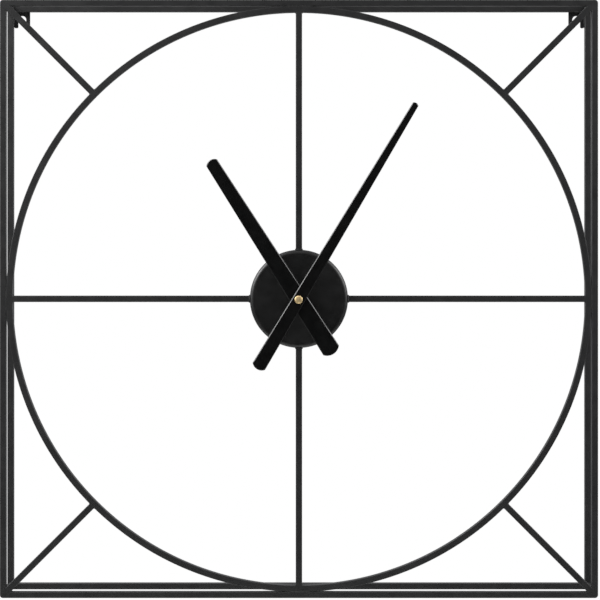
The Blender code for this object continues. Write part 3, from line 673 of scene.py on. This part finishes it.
def ring_welds():
    """Fillets on the two sides and the back of the spokes and braces, where they end on the ring."""
    depth = DEEP * FRONT_MIDDLE
    radius = sizes().weld_radius * 0.75
    feet = [(out * RING_INNER + depth, -out) for _, out in OUTWARDS]
    feet += [(out * RING_OUTER + depth, out) for _, out in brace_directions()]
    runs = []
    for foot, out in feet:
        across = out.cross(DEEP)
        side = HALF_BAR + radius * 0.1
        for sign in (-1, 1):
            base = foot + across * side * sign + out * radius * 0.25
            front = base - DEEP * (HALF_BAR - radius * 0.7)
            runs.append(([front, base + DEEP * HALF_BAR], radius))
        back = foot + DEEP * (HALF_BAR + radius * 0.1) + out * radius * 0.25
        runs.append(([back - across * HALF_BAR, back + across * HALF_BAR], radius))
    lay_beads("ring_welds", runs)


def square_welds():
    """Beads that fill the grooves where the ring touches the front square."""
    radius = sizes().weld_radius * 0.8
    reach = 0.013
    runs = []
    for _, out in OUTWARDS:
        across = out.cross(DEEP)
        for y in (FRONT_Y + radius * 0.9, FRONT_Y + BAR - radius * 0.35):
            centre = out * INNER_HALF + DEEP * y
            runs.append(([centre - across * reach, centre + across * reach], radius))
    lay_beads("square_welds", runs)


def post_welds():
    """Fillets in the inner corners between bars and posts, front and back."""
    radius = sizes().weld_radius * 0.7
    inset = INNER_HALF - radius * 0.2
    runs = []
    for x_sign, z_sign in ((-1, -1), (-1, 1), (1, -1), (1, 1)):
        corner = Vector((inset * x_sign, 0, inset * z_sign))
        for y, inward in ((FRONT_Y + BAR, 1), (-BAR, -1)):
            level = DEEP * (y + inward * radius * 0.2)
            for flat in (Vector((HALF_BAR * 1.5 * x_sign, 0, 0)), Vector((0, 0, HALF_BAR * 1.5 * z_sign))):
                runs.append(([corner + level, corner + flat + level], radius))
        for y in (FRONT_Y + radius, -BAR + radius):
            runs.append(([corner + DEEP * y, corner + DEEP * (y + BAR - 2 * radius)], radius))
    lay_beads("post_welds", runs)


def hanger_welds():
    """Beads along the top and outer edges of the hanger plates, in front of the plate."""
    radius = sizes().weld_radius * 0.8
    runs = []
    for name, sign in (("left", -1), ("right", 1)):
        low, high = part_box(f"hanger_plate_{name}")
        outer = INNER_HALF * sign
        inner = low.x if sign > 0 else high.x
        front = low.y - radius * 0.2
        top = INNER_HALF - radius * 0.2
        edge = outer - sign * radius * 0.2
        runs += [([Vector((inner, front, top)), Vector((outer, front, top))], radius),
                 ([Vector((edge, front, top)), Vector((edge, front, low.z + 0.002))], radius)]
    lay_beads("hanger_welds", runs)


# ---- hub and its hardware

def hub_pan():
    """A spun pan: flat face, rounded edge, straight wall and a rolled rear rim."""
    edge = sizes().hub_edge
    wall = sizes().hub_wall
    front, back = HUB_LOW.y, HUB_HIGH.y
    roll = wall * 0.5
    profile = [(NUT_BORE, front)] + arc(HUB_RADIUS - edge, front + edge, edge, -90, 0, 12)
    profile += arc(HUB_RADIUS - roll, back - roll, roll, 0, 180, 8)
    profile += arc(HUB_RADIUS - edge, front + edge, edge - wall, 0, -90, 8) + [(NUT_BORE, front + wall)]
    piece = even_flats(turned("hub_pan_painted", profile, 160, hub_paint, flat_above=radians(40)))
    stands_for(piece, "frame", "hub_paint", "hub_pan")


def washer():
    """The plain washer, with its edges broken."""
    rim = WASHER_HIGH.x
    front, back = WASHER_LOW.y, WASHER_HIGH.y
    chamfer = 0.00015
    profile = [(NUT_BORE, front + chamfer), (NUT_BORE + chamfer, front), (rim - chamfer, front),
               (rim, front + chamfer), (rim, back - chamfer), (rim - chamfer, back),
               (NUT_BORE + chamfer, back), (NUT_BORE, back - chamfer)]
    piece = even_flats(turned("fixing_washer_turned", profile, 64, turned_brass))
    stands_for(piece, "frame", "brass", "fixing_washer")


def hexagon_radius(flats):
    """The distance to the side of a hexagon whose flats are this far apart, as a function of the angle."""
    def at(angle):
        within = (angle + pi / 6) % (pi / 3) - pi / 6
        return flats / 2 / cos(within)
    return at


def fixing_nut():
    """A thin hexagon nut with turned chamfers on its corners."""
    front, back = NUT_LOW.y, NUT_HIGH.y
    flats = NUT_HIGH.z - NUT_LOW.z
    corner = flats / 2 / cos(pi / 6)
    bore = NUT_BORE
    side = hexagon_radius(flats)
    drop, face, lead = 0.00035, flats / 2 - 0.0002, 0.0003

    def outline(angle, size):
        return min(side(angle + pi / 6), size) if size > bore + 0.0004 else size

    stations = [(front, face), (front + drop, corner), (back - drop, corner), (back, face),
                (back, bore + lead), (back - lead, bore), (front + lead, bore), (front, bore + lead)]
    bm = bmesh.new()
    shaped(bm, stations, outline, 96, closed=True)
    piece = even_flats(piece_from(bm, "fixing_nut_turned", turned_brass, radians(20)))
    stands_for(piece, "frame", "brass", "fixing_nut")


def cap_nut():
    """The closed thumb nut on the minute arbor: a knurled side under a shallow dome."""
    front, back = CAP_LOW.y, CAP_HIGH.y
    radius = CAP_HIGH.x
    knurls = 40
    depth = 0.00012

    def outline(angle, size):
        knurled = 0.5 + 0.5 * cos(angle * knurls)
        share = max(0.0, min(1.0, (size - radius * 0.93) / (radius * 0.07)))
        return size - depth * knurled * share

    side = [(back, radius * 0.95), (back - 0.0002, radius), (front + 0.00105, radius),
            (front + 0.00095, radius * 0.95)]
    dome = [(front + 0.0008 * (1 - cos(a)), radius * 0.92 * sin(a) / sin(radians(70)))
            for a in (radians(70 - 7 * step) for step in range(11))]
    bm = bmesh.new()
    shaped(bm, side + dome, outline, 240)
    piece = even_flats(piece_from(bm, "cap_nut_turned", turned_brass, radians(30)))
    stands_for(piece, "minute", "brass", "cap_nut")


# ---- movement

def bushing(bm, end):
    """The threaded bushing up to end, with a lead-in chamfer and a plain bore for the hour tube."""
    radius = 0.004
    pitch = sizes().thread_pitch
    depth = pitch * 0.3
    start = CASE_LOW.y
    lead = 0.0006
    steps = 48
    rows = int((end - start) / pitch * 8)
    loops = []
    for row in range(rows + 1):
        y = start + (end - start) * row / rows
        cap = radius - max(0.0, lead - (y - start)) * 0.7
        loop = []
        for step in range(steps):
            angle = tau * step / steps
            turn = ((y - start) / pitch + angle / tau) % 1.0
            cut = depth * abs(2 * turn - 1)
            loop.append(radial("Y", angle) * min(radius - cut, cap) + DEEP * y)
        loops.append(loop)
    for y in (end, start):
        loops.append([radial("Y", tau * step / steps) * BUSHING_BORE + DEEP * y for step in range(steps)])
    loft(bm, loops, closed=True)


def moulded(name, outline, y_front, y_back):
    return plate_piece(name, outline, y_front, y_back, moulded_plastic)


def drilled(name, radius, start, end, steps, centre=AXIS, axis="Y"):
    """A round cutter for a moulded piece."""
    return turned(name, rod(radius, start, end), steps, moulded_plastic, centre, axis)


def movement_case():
    """The moulded front half: rounded shell, gear space and battery bay."""
    half = CASE_HIGH.x
    wall = CASE_WALL
    inside = half - wall
    front = CASE_FRONT
    back = CASE_HIGH.y
    shelf = COVER_LOW.z
    scoop_radius, scoop_middle = 0.009, Vector((0, back + 0.004, 0))
    shell = moulded("movement_case_moulded", rounded_box_outline(-half, half, CASE_LOW.z, CASE_HIGH.z, 0.003),
                    front, back)
    gear_space = moulded("gear_space", rounded_box_outline(
        -inside, inside, shelf + wall, CASE_HIGH.z - wall, 0.001), front + wall, back + wall)
    bay = moulded("battery_bay", rounded_box_outline(
        -inside, inside, CASE_LOW.z + wall, shelf, 0.0006), front + wall, back + wall)
    scoop = drilled("finger_scoop", scoop_radius, CASE_LOW.z - wall, CASE_LOW.z + wall * 1.5, 48, scoop_middle, "Z")
    bore = drilled("bushing_bore", BUSHING_BORE, front - wall, front + 2 * wall, 48)
    carve(shell, gear_space, bay, scoop, bore)
    round_edges(shell, 0.00028, 2, radians(50))
    stands_for(shell, "frame", "case_plastic", "movement_case")


def case_fittings():
    """The bushing in front of the case, and the cradle ribs and cover pillars inside it."""
    bm = bmesh.new()
    bushing(bm, CASE_FRONT + CASE_WALL / 2)
    stands_for(piece_from(bm, "bushing_threaded", moulded_plastic, radians(30)), "frame", "case_plastic")

    floor = CASE_FRONT + CASE_WALL
    cell_middle = (CELL_LOW + CELL_HIGH) / 2
    cell = (CELL_HIGH.z - CELL_LOW.z) / 2
    rib = arc(cell_middle.z, cell_middle.y, cell + 0.0001, 200, 340, 18) + [(CELL_HIGH.z, floor), (CELL_LOW.z, floor)]
    half_rib = 0.0006
    bm = bmesh.new()
    for place in (-0.6, 0.0, 0.6):
        x = place * (CASE_HIGH.x - CASE_WALL)
        side_slab(bm, [(y, z) for z, y in rib], x - half_rib, x + half_rib)
    stands_for(piece_from(bm, "battery_cradle", moulded_plastic), "frame", "case_plastic")

    pillar, inset = 0.0015, 0.0037
    profile = rod(pillar, CASE_FRONT + CASE_WALL / 2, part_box("middle_plate")[0].y - JOINT_GAP)
    bm = bmesh.new()
    for x in (inset - CASE_HIGH.x, CASE_HIGH.x - inset):
        for z in (COVER_LOW.z + inset, CASE_HIGH.z - inset):
            spun(bm, profile, 32, Vector((x, 0, z)))
    stands_for(piece_from(bm, "case_pillars", moulded_plastic), "frame", "case_plastic")


def cover_arrow(centre, radius, start, end, width):
    """A curved arrow outline round centre, as (x, z) points."""
    steps = 18
    outer = arc(centre.x, centre.z, radius + width / 2, start, end, steps)
    inner = arc(centre.x, centre.z, radius - width / 2, end, start, steps)
    head = [(centre.x + size * cos(radians(angle)), centre.z + size * sin(radians(angle)))
            for size, angle in ((radius + width * 1.2, end), (radius, end + 9), (radius - width * 1.2, end))]
    return outer + head + inner


def rear_cover():
    """The moulded lid: a raised border, a sunk well for the knob, and snap windows."""
    low, high = COVER_LOW, COVER_HIGH
    wall = CASE_WALL
    border = 0.0022
    above = high.y + 0.001
    well, well_depth = 0.0072, 0.0007
    arbor = 0.00115
    place = Vector((JOINTS["knob_turn"].x, 0, JOINTS["knob_turn"].z))
    inside = high.x - wall
    lid = moulded("rear_cover_moulded", rounded_box_outline(low.x, high.x, low.z, high.z, 0.0028), low.y, high.y)
    panel = moulded("panel", rounded_box_outline(
        low.x + border, high.x - border, low.z + border, high.z - border, 0.0016), high.y - PANEL_DEPTH, above)
    well_cut = drilled("knob_well", well, high.y - well_depth, above, 64, place)
    space = moulded("cover_space", box_outline(-inside, inside, low.z + wall, high.z - wall),
                    low.y - wall, high.y - wall)
    arbor_hole = drilled("arbor_hole", arbor, low.y, high.y + wall, 32, place)
    windows = []
    for share in (-0.55, 0.55):
        x = share * high.x
        outline = box_outline(x - 0.003, x + 0.003, high.z - 0.0009, high.z + 0.001)
        windows.append(moulded("snap_window", outline, low.y + 0.0008, low.y + 0.0026))
    carve(lid, space, panel, well_cut, arbor_hole, *windows)
    round_edges(lid, 0.00025, 2, radians(50))
    stands_for(lid, "frame", "case_plastic", "rear_cover")


def cover_relief():
    """The arrow, the three bars and the dot that are moulded on the rear cover."""
    panel_y = COVER_HIGH.y - PANEL_DEPTH
    sunk, raised = panel_y - 0.0002, panel_y + 0.0003
    bm = bmesh.new()
    slab(bm, cover_arrow(JOINTS["knob_turn"], 0.0092, -150, -30, 0.0011), sunk, raised)
    x, wide, tall = 0.010, 0.0226, 0.0008
    for z in (-0.0018, -0.0040, -0.0062):
        bar = rounded_box_outline(x - wide / 2, x + wide / 2, z - tall / 2, z + tall / 2, tall * 0.49, 4)
        slab(bm, bar, sunk, raised)
    dot = 0.0024
    spun(bm, rod(dot, raised, sunk), 40, Vector((0.012, 0, 0.014)))
    stands_for(piece_from(bm, "rear_cover_relief", moulded_plastic), "frame", "case_plastic")


def gear_radius(teeth, module, phase):
    """Straight-flanked teeth with softened corners, as a radius at each angle."""
    middle = teeth * module / 2

    def at(angle, _size):
        swing = cos((angle - phase) * teeth)
        return middle + module * max(-1.1, min(0.78, swing * 1.9 - 0.12))
    return at


def setting_knob():
    """The knob that sets the hands: fluted head, arbor, and the small wheel inside the case."""
    centre = JOINTS["knob_turn"]
    place = Vector((centre.x, 0, centre.z))
    head = KNOB_HIGH.x - centre.x
    back = KNOB_HIGH.y
    front = COVER_HIGH.y + JOINT_GAP
    flutes = sizes().knob_flutes

    def fluted(angle, size):
        groove = (0.5 - 0.5 * cos(angle * flutes)) ** 3
        share = 1.0 if size > head * 0.9 else 0.0
        return size - 0.0005 * groove * share

    stations = [(front, head * 0.94), (front + 0.0003, head), (back - 0.0004, head), (back, head * 0.93),
                (back, head * 0.62), (back - 0.0006, head * 0.54), (back - 0.0007, head * 0.1)]
    bm = bmesh.new()
    shaped(bm, stations, fluted, 240, place)
    arbor, inner_end, outer_end = 0.0010, KNOB_LOW.y, front + 0.0005
    spun(bm, [(0, inner_end), (arbor * 0.8, inner_end), (arbor, inner_end + 0.0003), (arbor, outer_end),
              (0, outer_end)], 24, place)
    wheel_y = JOINTS["counter_turn"].y
    shaped(bm, [(wheel_y - 0.0004, 1), (wheel_y + 0.0006, 1)], gear_radius(12, 0.0005, pi / 2), 144, place)
    piece = piece_from(bm, "setting_knob_moulded", moulded_plastic, radians(38))
    stands_for(piece, "knob", "case_plastic", "setting_knob")


def turned_corner(centre_radius, place, size, start, end):
    """A small rounded corner of a turned profile, as (radius, distance) points."""
    return [(radius, distance) for distance, radius in arc(place, centre_radius, size, start, end, 5)]


def battery():
    """A plain size AA cell: film jacket with a pale band, crimped steel ends and the raised pole."""
    middle = (CELL_LOW + CELL_HIGH) / 2
    place = Vector((0, middle.y, middle.z))
    left, right = CELL_LOW.x, CELL_HIGH.x
    radius = (CELL_HIGH.z - CELL_LOW.z) / 2
    nub, nub_radius = 0.0012, 0.00275
    film = 0.0003
    shoulder = right - nub
    steel = [(0, left + 0.0003), (radius * 0.72, left + 0.0003), (radius * 0.78, left)]
    steel += turned_corner(radius - 0.0007, left + 0.0007, 0.00055, 180, 90)
    steel += [(radius - 0.00015, left + 0.001), (radius - 0.00015, shoulder - 0.0008)]
    steel += turned_corner(radius - 0.0009, shoulder - 0.0008, 0.0006, 90, 0)
    steel += [(nub_radius + 0.0004, shoulder - 0.0002), (nub_radius, shoulder)]
    steel += [(nub_radius, right - 0.0004), (nub_radius - 0.0003, right), (0, right)]
    can = even_flats(turned("battery_can", steel, 96, plated_steel, place, "X", radians(40)))
    stands_for(can, "frame", "steel", "battery")

    start, end = left + 0.0006, shoulder - 0.0006
    band = end - 0.0085
    jacket = [(radius - film, start), (radius, start + 0.0002), (radius, band), (radius - film, band)]
    pole_band = [(radius - film, band), (radius, band), (radius, end - 0.0004), (radius - 0.0004, end)]
    for name, profile, maker in (("battery_jacket", jacket, battery_film),
                                 ("battery_pole_band", pole_band, pale_band)):
        stands_for(even_flats(turned(name, profile, 96, maker, place, "X", radians(40))), "frame", "battery_jacket")


def contact_spring():
    """The coiled negative contact: a cone of round wire on its bent strip."""
    low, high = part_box("contact_negative")
    middle = (low + high) / 2
    wire, strip, half_strip = 0.0003, 0.0004, 0.004
    base, tip = (high.z - low.z) / 2 - wire, 0.0028
    start, end = low.x + strip + wire, high.x - wire
    turns = 3
    count = turns * 28
    loops = []
    for step in range(count + 1):
        share = step / count
        out = radial("X", tau * turns * share)
        ring = base + (tip - base) * share
        centre = Vector((start + (end - start) * share, middle.y, middle.z)) + out * ring
        loops.append([centre + out * wire * cos(t) + RIGHT * wire * sin(t) for t in (tau * k / 8 for k in range(8))])
    bm = bmesh.new()
    loft(bm, loops)
    plate = rounded_box_outline(middle.y - half_strip, middle.y + half_strip,
                                middle.z - half_strip, middle.z + half_strip, 0.0008, 4)
    side_slab(bm, plate, low.x, low.x + strip)
    piece = piece_from(bm, "contact_negative_coiled", plated_steel, radians(40))
    stands_for(piece, "frame", "steel", "contact_negative")


def contact_strip():
    """The positive contact: a flat strip with a pressed dimple."""
    low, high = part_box("contact_positive")
    middle = (low + high) / 2
    bm = bmesh.new()
    side_slab(bm, rounded_box_outline(low.y, high.y, low.z, high.z, 0.0006, 4), low.x, high.x)
    dimple = [(0.0016 * sin(a), low.x + 0.0001 - 0.0005 * cos(a)) for a in (radians(15 * k) for k in range(7))]
    spun(bm, dimple + [(0, low.x + 0.0001)], 32, Vector((0, middle.y, middle.z)), "X")
    piece = piece_from(bm, "contact_positive_pressed", plated_steel, radians(35))
    stands_for(piece, "frame", "steel", "contact_positive")


# ---- hands

def hand_outline(tip, tail, tip_width, tail_width):
    """A long taper with a shallow round end at both ends, pointing up."""
    points = []
    for end, width, sign in ((tip, tip_width, 1), (tail, tail_width, -1)):
        bulge = width * 0.24
        radius = (width ** 2 / 4 + bulge ** 2) / (2 * bulge)
        spread = degrees(asin(width / 2 / radius))
        steps = 16
        for step in range(steps + 1):
            angle = radians(spread * (1 - 2 * step / steps))
            points.append((sign * radius * sin(angle), sign * (end - radius + radius * cos(angle))))
    return points


def hand_piece(name, node, body, outline, angle, low, high, hole):
    """A blade with a sloped front edge all round, turned clockwise from twelve."""
    bm = bmesh.new()
    slab(bm, outline, low.y, high.y)
    piece = piece_from(bm, name, hand_paint, radians(20))
    weights = piece.data.attributes.new("bevel_weight_edge", "FLOAT", "EDGE")
    middle = (low.y + high.y) / 2
    for edge in piece.data.edges:
        on_front = all(piece.data.vertices[index].co.y < middle for index in edge.vertices)
        weights.data[edge.index].value = float(on_front)
    bevel = piece.modifiers.new("sloped_edge", "BEVEL")
    bevel.limit_method = "WEIGHT"
    bevel.width = sizes().hand_edge
    bevel.segments = 1
    settle(piece)
    carve(piece, turned("arbor_hole", rod(hole, low.y - 0.001, high.y + 0.001), 48, hand_paint))
    piece.data.transform(Matrix.Rotation(angle, 4, "Y"))
    round_edges(piece, HAND_CORNER, 2, radians(25), radians(40))
    stands_for(piece, body, "hand_paint", node)


def hands():
    s = sizes()
    hand_piece("hour_hand_painted", "hour_hand", "hour",
               hand_outline(s.hour_tip, s.hour_tail, s.hour_tip_width, s.hour_tail_width),
               s.hour_angle, HOUR_LOW, HOUR_HIGH, HOUR_HOLE)
    hand_piece("minute_hand_painted", "minute_hand", "minute",
               hand_outline(s.minute_tip, s.minute_tail, s.minute_tip_width, s.minute_tail_width),
               s.minute_angle, MINUTE_LOW, MINUTE_HIGH, MINUTE_HOLE)


# ---- finishes on the inner works

def dress_inner_works():
    """Gives the solids that stay their finishes."""
    makers = {
        "hub_gasket": gasket_rubber, "middle_plate": moulded_plastic, "train_bridge": moulded_plastic,
        "hour_wheel": gear_plastic, "minute_arbor": plated_steel, "counter_wheel": gear_plastic,
        "centre_wheel": turned_brass, "third_wheel": gear_plastic, "fourth_wheel": gear_plastic,
        "fifth_wheel": gear_plastic, "rotor": plated_steel, "stator": plated_steel,
        "coil": copper_winding, "circuit_board": board_lacquer, "quartz_crystal": plated_steel,
    }
    for node, maker in makers.items():
        mesh = frame["nodes"][node].data
        mesh.materials.clear()
        mesh.materials.append(made_once(maker))


# ---- stage

def pale_floor():
    """A pale round floor, well below the clock."""
    bm = bmesh.new()
    bmesh.ops.create_circle(bm, cap_ends=True, radius=1.15, segments=96)
    mesh = bpy.data.meshes.new("studio_floor")
    bm.to_mesh(mesh)
    bm.free()
    floor = add_object("studio_floor", mesh)
    floor.location.z = -0.9
    made = bpy.data.materials.new("floor_paper")
    made.use_nodes = True
    set_values(made.node_tree.nodes["Principled BSDF"], Base_Color=(0.86, 0.86, 0.85, 1), Roughness=0.9)
    mesh.materials.append(made)


def studio_world():
    """White behind the clock, and a quieter even light from all round it."""
    world = bpy.data.worlds.new("studio")
    bpy.context.scene.world = world
    world.use_nodes = True
    tree = world.node_tree
    seen = set_values(tree.nodes["Background"], Color=(1, 1, 1, 1), Strength=1.0)
    lit = add_node(tree, "Background", Color=(0.97, 0.98, 1, 1))
    direction = add_node(tree, "TexCoord")
    parts = add_node(tree, "SeparateXYZ")
    tree.links.new(direction.outputs["Generated"], parts.inputs["Vector"])
    shares = add_node(tree, "Math")
    shares.operation = "MULTIPLY"
    for place, (side, start, end, dark, light) in enumerate(
            (("Y", -1.0, -0.55, 0.05, 0.52), ("Z", -0.7, 0.4, 0.35, 1.15))):
        fade = add_node(tree, "MapRange", From_Min=start, From_Max=end, To_Min=dark, To_Max=light)
        fade.interpolation_type = "SMOOTHSTEP"
        tree.links.new(parts.outputs[side], fade.inputs["Value"])
        tree.links.new(fade.outputs["Result"], shares.inputs[place])
    tree.links.new(shares.outputs["Value"], lit.inputs["Strength"])
    path = add_node(tree, "LightPath")
    mix = add_node(tree, "MixShader")
    tree.links.new(path.outputs["Is Camera Ray"], mix.inputs["Fac"])
    tree.links.new(lit.outputs["Background"], mix.inputs[1])
    tree.links.new(seen.outputs["Background"], mix.inputs[2])
    tree.links.new(mix.outputs["Shader"], tree.nodes["World Output"].inputs["Surface"])


def soft_light(name, place, watts):
    """A large rectangular lamp at place, facing the clock."""
    lamp = bpy.data.lights.new(name, "AREA")
    lamp.shape = "RECTANGLE"
    lamp.size = 0.8
    lamp.size_y = 1.1
    lamp.energy = watts
    light = add_object(name, lamp)
    light.location = place
    light.rotation_euler = (Vector((0, -0.05, 0)) - Vector(place)).to_track_quat("-Z", "Y").to_euler()


def face_camera():
    """A level camera a little above the middle, shifted down so that the frame fills the picture."""
    distance = 1.742
    width_seen = 0.6014
    height = 0.055
    side = 0.013
    margin = 0.0011
    camera = bpy.data.cameras.new("face_camera")
    camera.sensor_fit = "HORIZONTAL"
    camera.sensor_width = 36
    camera.lens = camera.sensor_width * distance / width_seen
    camera.shift_x = (margin - side) / width_seen
    camera.shift_y = (-margin - height) / width_seen
    camera.clip_start = 0.05
    camera.clip_end = 20
    placed = add_object("face_camera", camera)
    placed.location = (side, FRONT_Y - distance, height)
    placed.rotation_euler = (pi / 2, 0, 0)
    bpy.context.scene.camera = placed


def stage():
    bpy.context.scene.view_settings.view_transform = "Standard"
    studio_world()
    pale_floor()
    soft_light("left_softbox", (-1.15, -0.30, 0.85), 46)
    soft_light("right_softbox", (1.35, -0.28, 0.75), 29)
    face_camera()


# ---- operators and panel

class WALLCLOCK_OT_stage(bpy.types.Operator):
    """Set up the floor, the soft lights and the camera"""
    bl_idname = "wall_clock.stage"
    bl_label = "Stage"

    def execute(self, context):
        stage()
        return {"FINISHED"}


class WALLCLOCK_OT_squares(bpy.types.Operator):
    """Build the bars of the front and back squares"""
    bl_idname = "wall_clock.squares"
    bl_label = "Front and Back Squares"

    def execute(self, context):
        square_bars("front", FRONT_MIDDLE)
        square_bars("back", BACK_MIDDLE)
        return {"FINISHED"}


class WALLCLOCK_OT_posts(bpy.types.Operator):
    """Build the four corner posts"""
    bl_idname = "wall_clock.posts"
    bl_label = "Corner Posts"

    def execute(self, context):
        corner_posts()
        return {"FINISHED"}


class WALLCLOCK_OT_ring(bpy.types.Operator):
    """Build the ring with its spokes and corner braces"""
    bl_idname = "wall_clock.ring"
    bl_label = "Ring, Spokes and Braces"

    def execute(self, context):
        dial_ring()
        spokes()
        corner_braces()
        return {"FINISHED"}


class WALLCLOCK_OT_hangers(bpy.types.Operator):
    """Build the two slotted hanger plates"""
    bl_idname = "wall_clock.hangers"
    bl_label = "Hanger Plates"

    def execute(self, context):
        hanger_plates()
        return {"FINISHED"}


class WALLCLOCK_OT_welds(bpy.types.Operator):
    """Lay the weld beads at every joint of the frame"""
    bl_idname = "wall_clock.welds"
    bl_label = "Welds"

    def execute(self, context):
        hub_welds()
        ring_welds()
        square_welds()
        post_welds()
        hanger_welds()
        return {"FINISHED"}


class WALLCLOCK_OT_hub(bpy.types.Operator):
    """Build the hub pan with its washer and nut"""
    bl_idname = "wall_clock.hub"
    bl_label = "Hub"

    def execute(self, context):
        hub_pan()
        washer()
        fixing_nut()
        return {"FINISHED"}


class WALLCLOCK_OT_movement(bpy.types.Operator):
    """Build the movement's case, rear cover and setting knob"""
    bl_idname = "wall_clock.movement"
    bl_label = "Movement"

    def execute(self, context):
        movement_case()
        case_fittings()
        rear_cover()
        cover_relief()
        setting_knob()
        dress_inner_works()
        return {"FINISHED"}


class WALLCLOCK_OT_battery(bpy.types.Operator):
    """Build the cell and its two contacts"""
    bl_idname = "wall_clock.battery"
    bl_label = "Battery"

    def execute(self, context):
        battery()
        contact_spring()
        contact_strip()
        return {"FINISHED"}


class WALLCLOCK_OT_hands(bpy.types.Operator):
    """Build the hour hand, the minute hand and the cap nut"""
    bl_idname = "wall_clock.hands"
    bl_label = "Hands"

    def execute(self, context):
        hands()
        cap_nut()
        return {"FINISHED"}


STEPS = (WALLCLOCK_OT_stage, WALLCLOCK_OT_squares, WALLCLOCK_OT_posts, WALLCLOCK_OT_ring,
         WALLCLOCK_OT_hangers, WALLCLOCK_OT_welds, WALLCLOCK_OT_hub, WALLCLOCK_OT_movement,
         WALLCLOCK_OT_battery, WALLCLOCK_OT_hands)


class WALLCLOCK_PT_panel(bpy.types.Panel):
    """Lists the clock's sizes, colours and building steps"""
    bl_idname = "WALLCLOCK_PT_panel"
    bl_label = "Wall Clock"
    bl_space_type = "VIEW_3D"
    bl_region_type = "UI"
    bl_category = "Wall Clock"

    def draw(self, context):
        for step in STEPS:
            self.layout.operator(step.bl_idname)
        for group in (context.scene.wall_clock_sizes, context.scene.wall_clock_colours):
            box = self.layout.box()
            for name in group.__annotations__:
                box.prop(group, name)


CLASSES = (ClockSizes, ClockColours, *STEPS, WALLCLOCK_PT_panel)


def register():
    for each in CLASSES:
        bpy.utils.register_class(each)
    bpy.types.Scene.wall_clock_sizes = PointerProperty(type=ClockSizes)
    bpy.types.Scene.wall_clock_colours = PointerProperty(type=ClockColours)


def unregister():
    del bpy.types.Scene.wall_clock_colours
    del bpy.types.Scene.wall_clock_sizes
    for each in reversed(CLASSES):
        bpy.utils.unregister_class(each)


def main():
    register()
    bpy.ops.wall_clock.stage()
    bpy.ops.wall_clock.squares()
    bpy.ops.wall_clock.posts()
    bpy.ops.wall_clock.ring()
    bpy.ops.wall_clock.hangers()
    bpy.ops.wall_clock.welds()
    bpy.ops.wall_clock.hub()
    bpy.ops.wall_clock.movement()
    bpy.ops.wall_clock.battery()
    bpy.ops.wall_clock.hands()


if __name__ == "__main__":
    main()
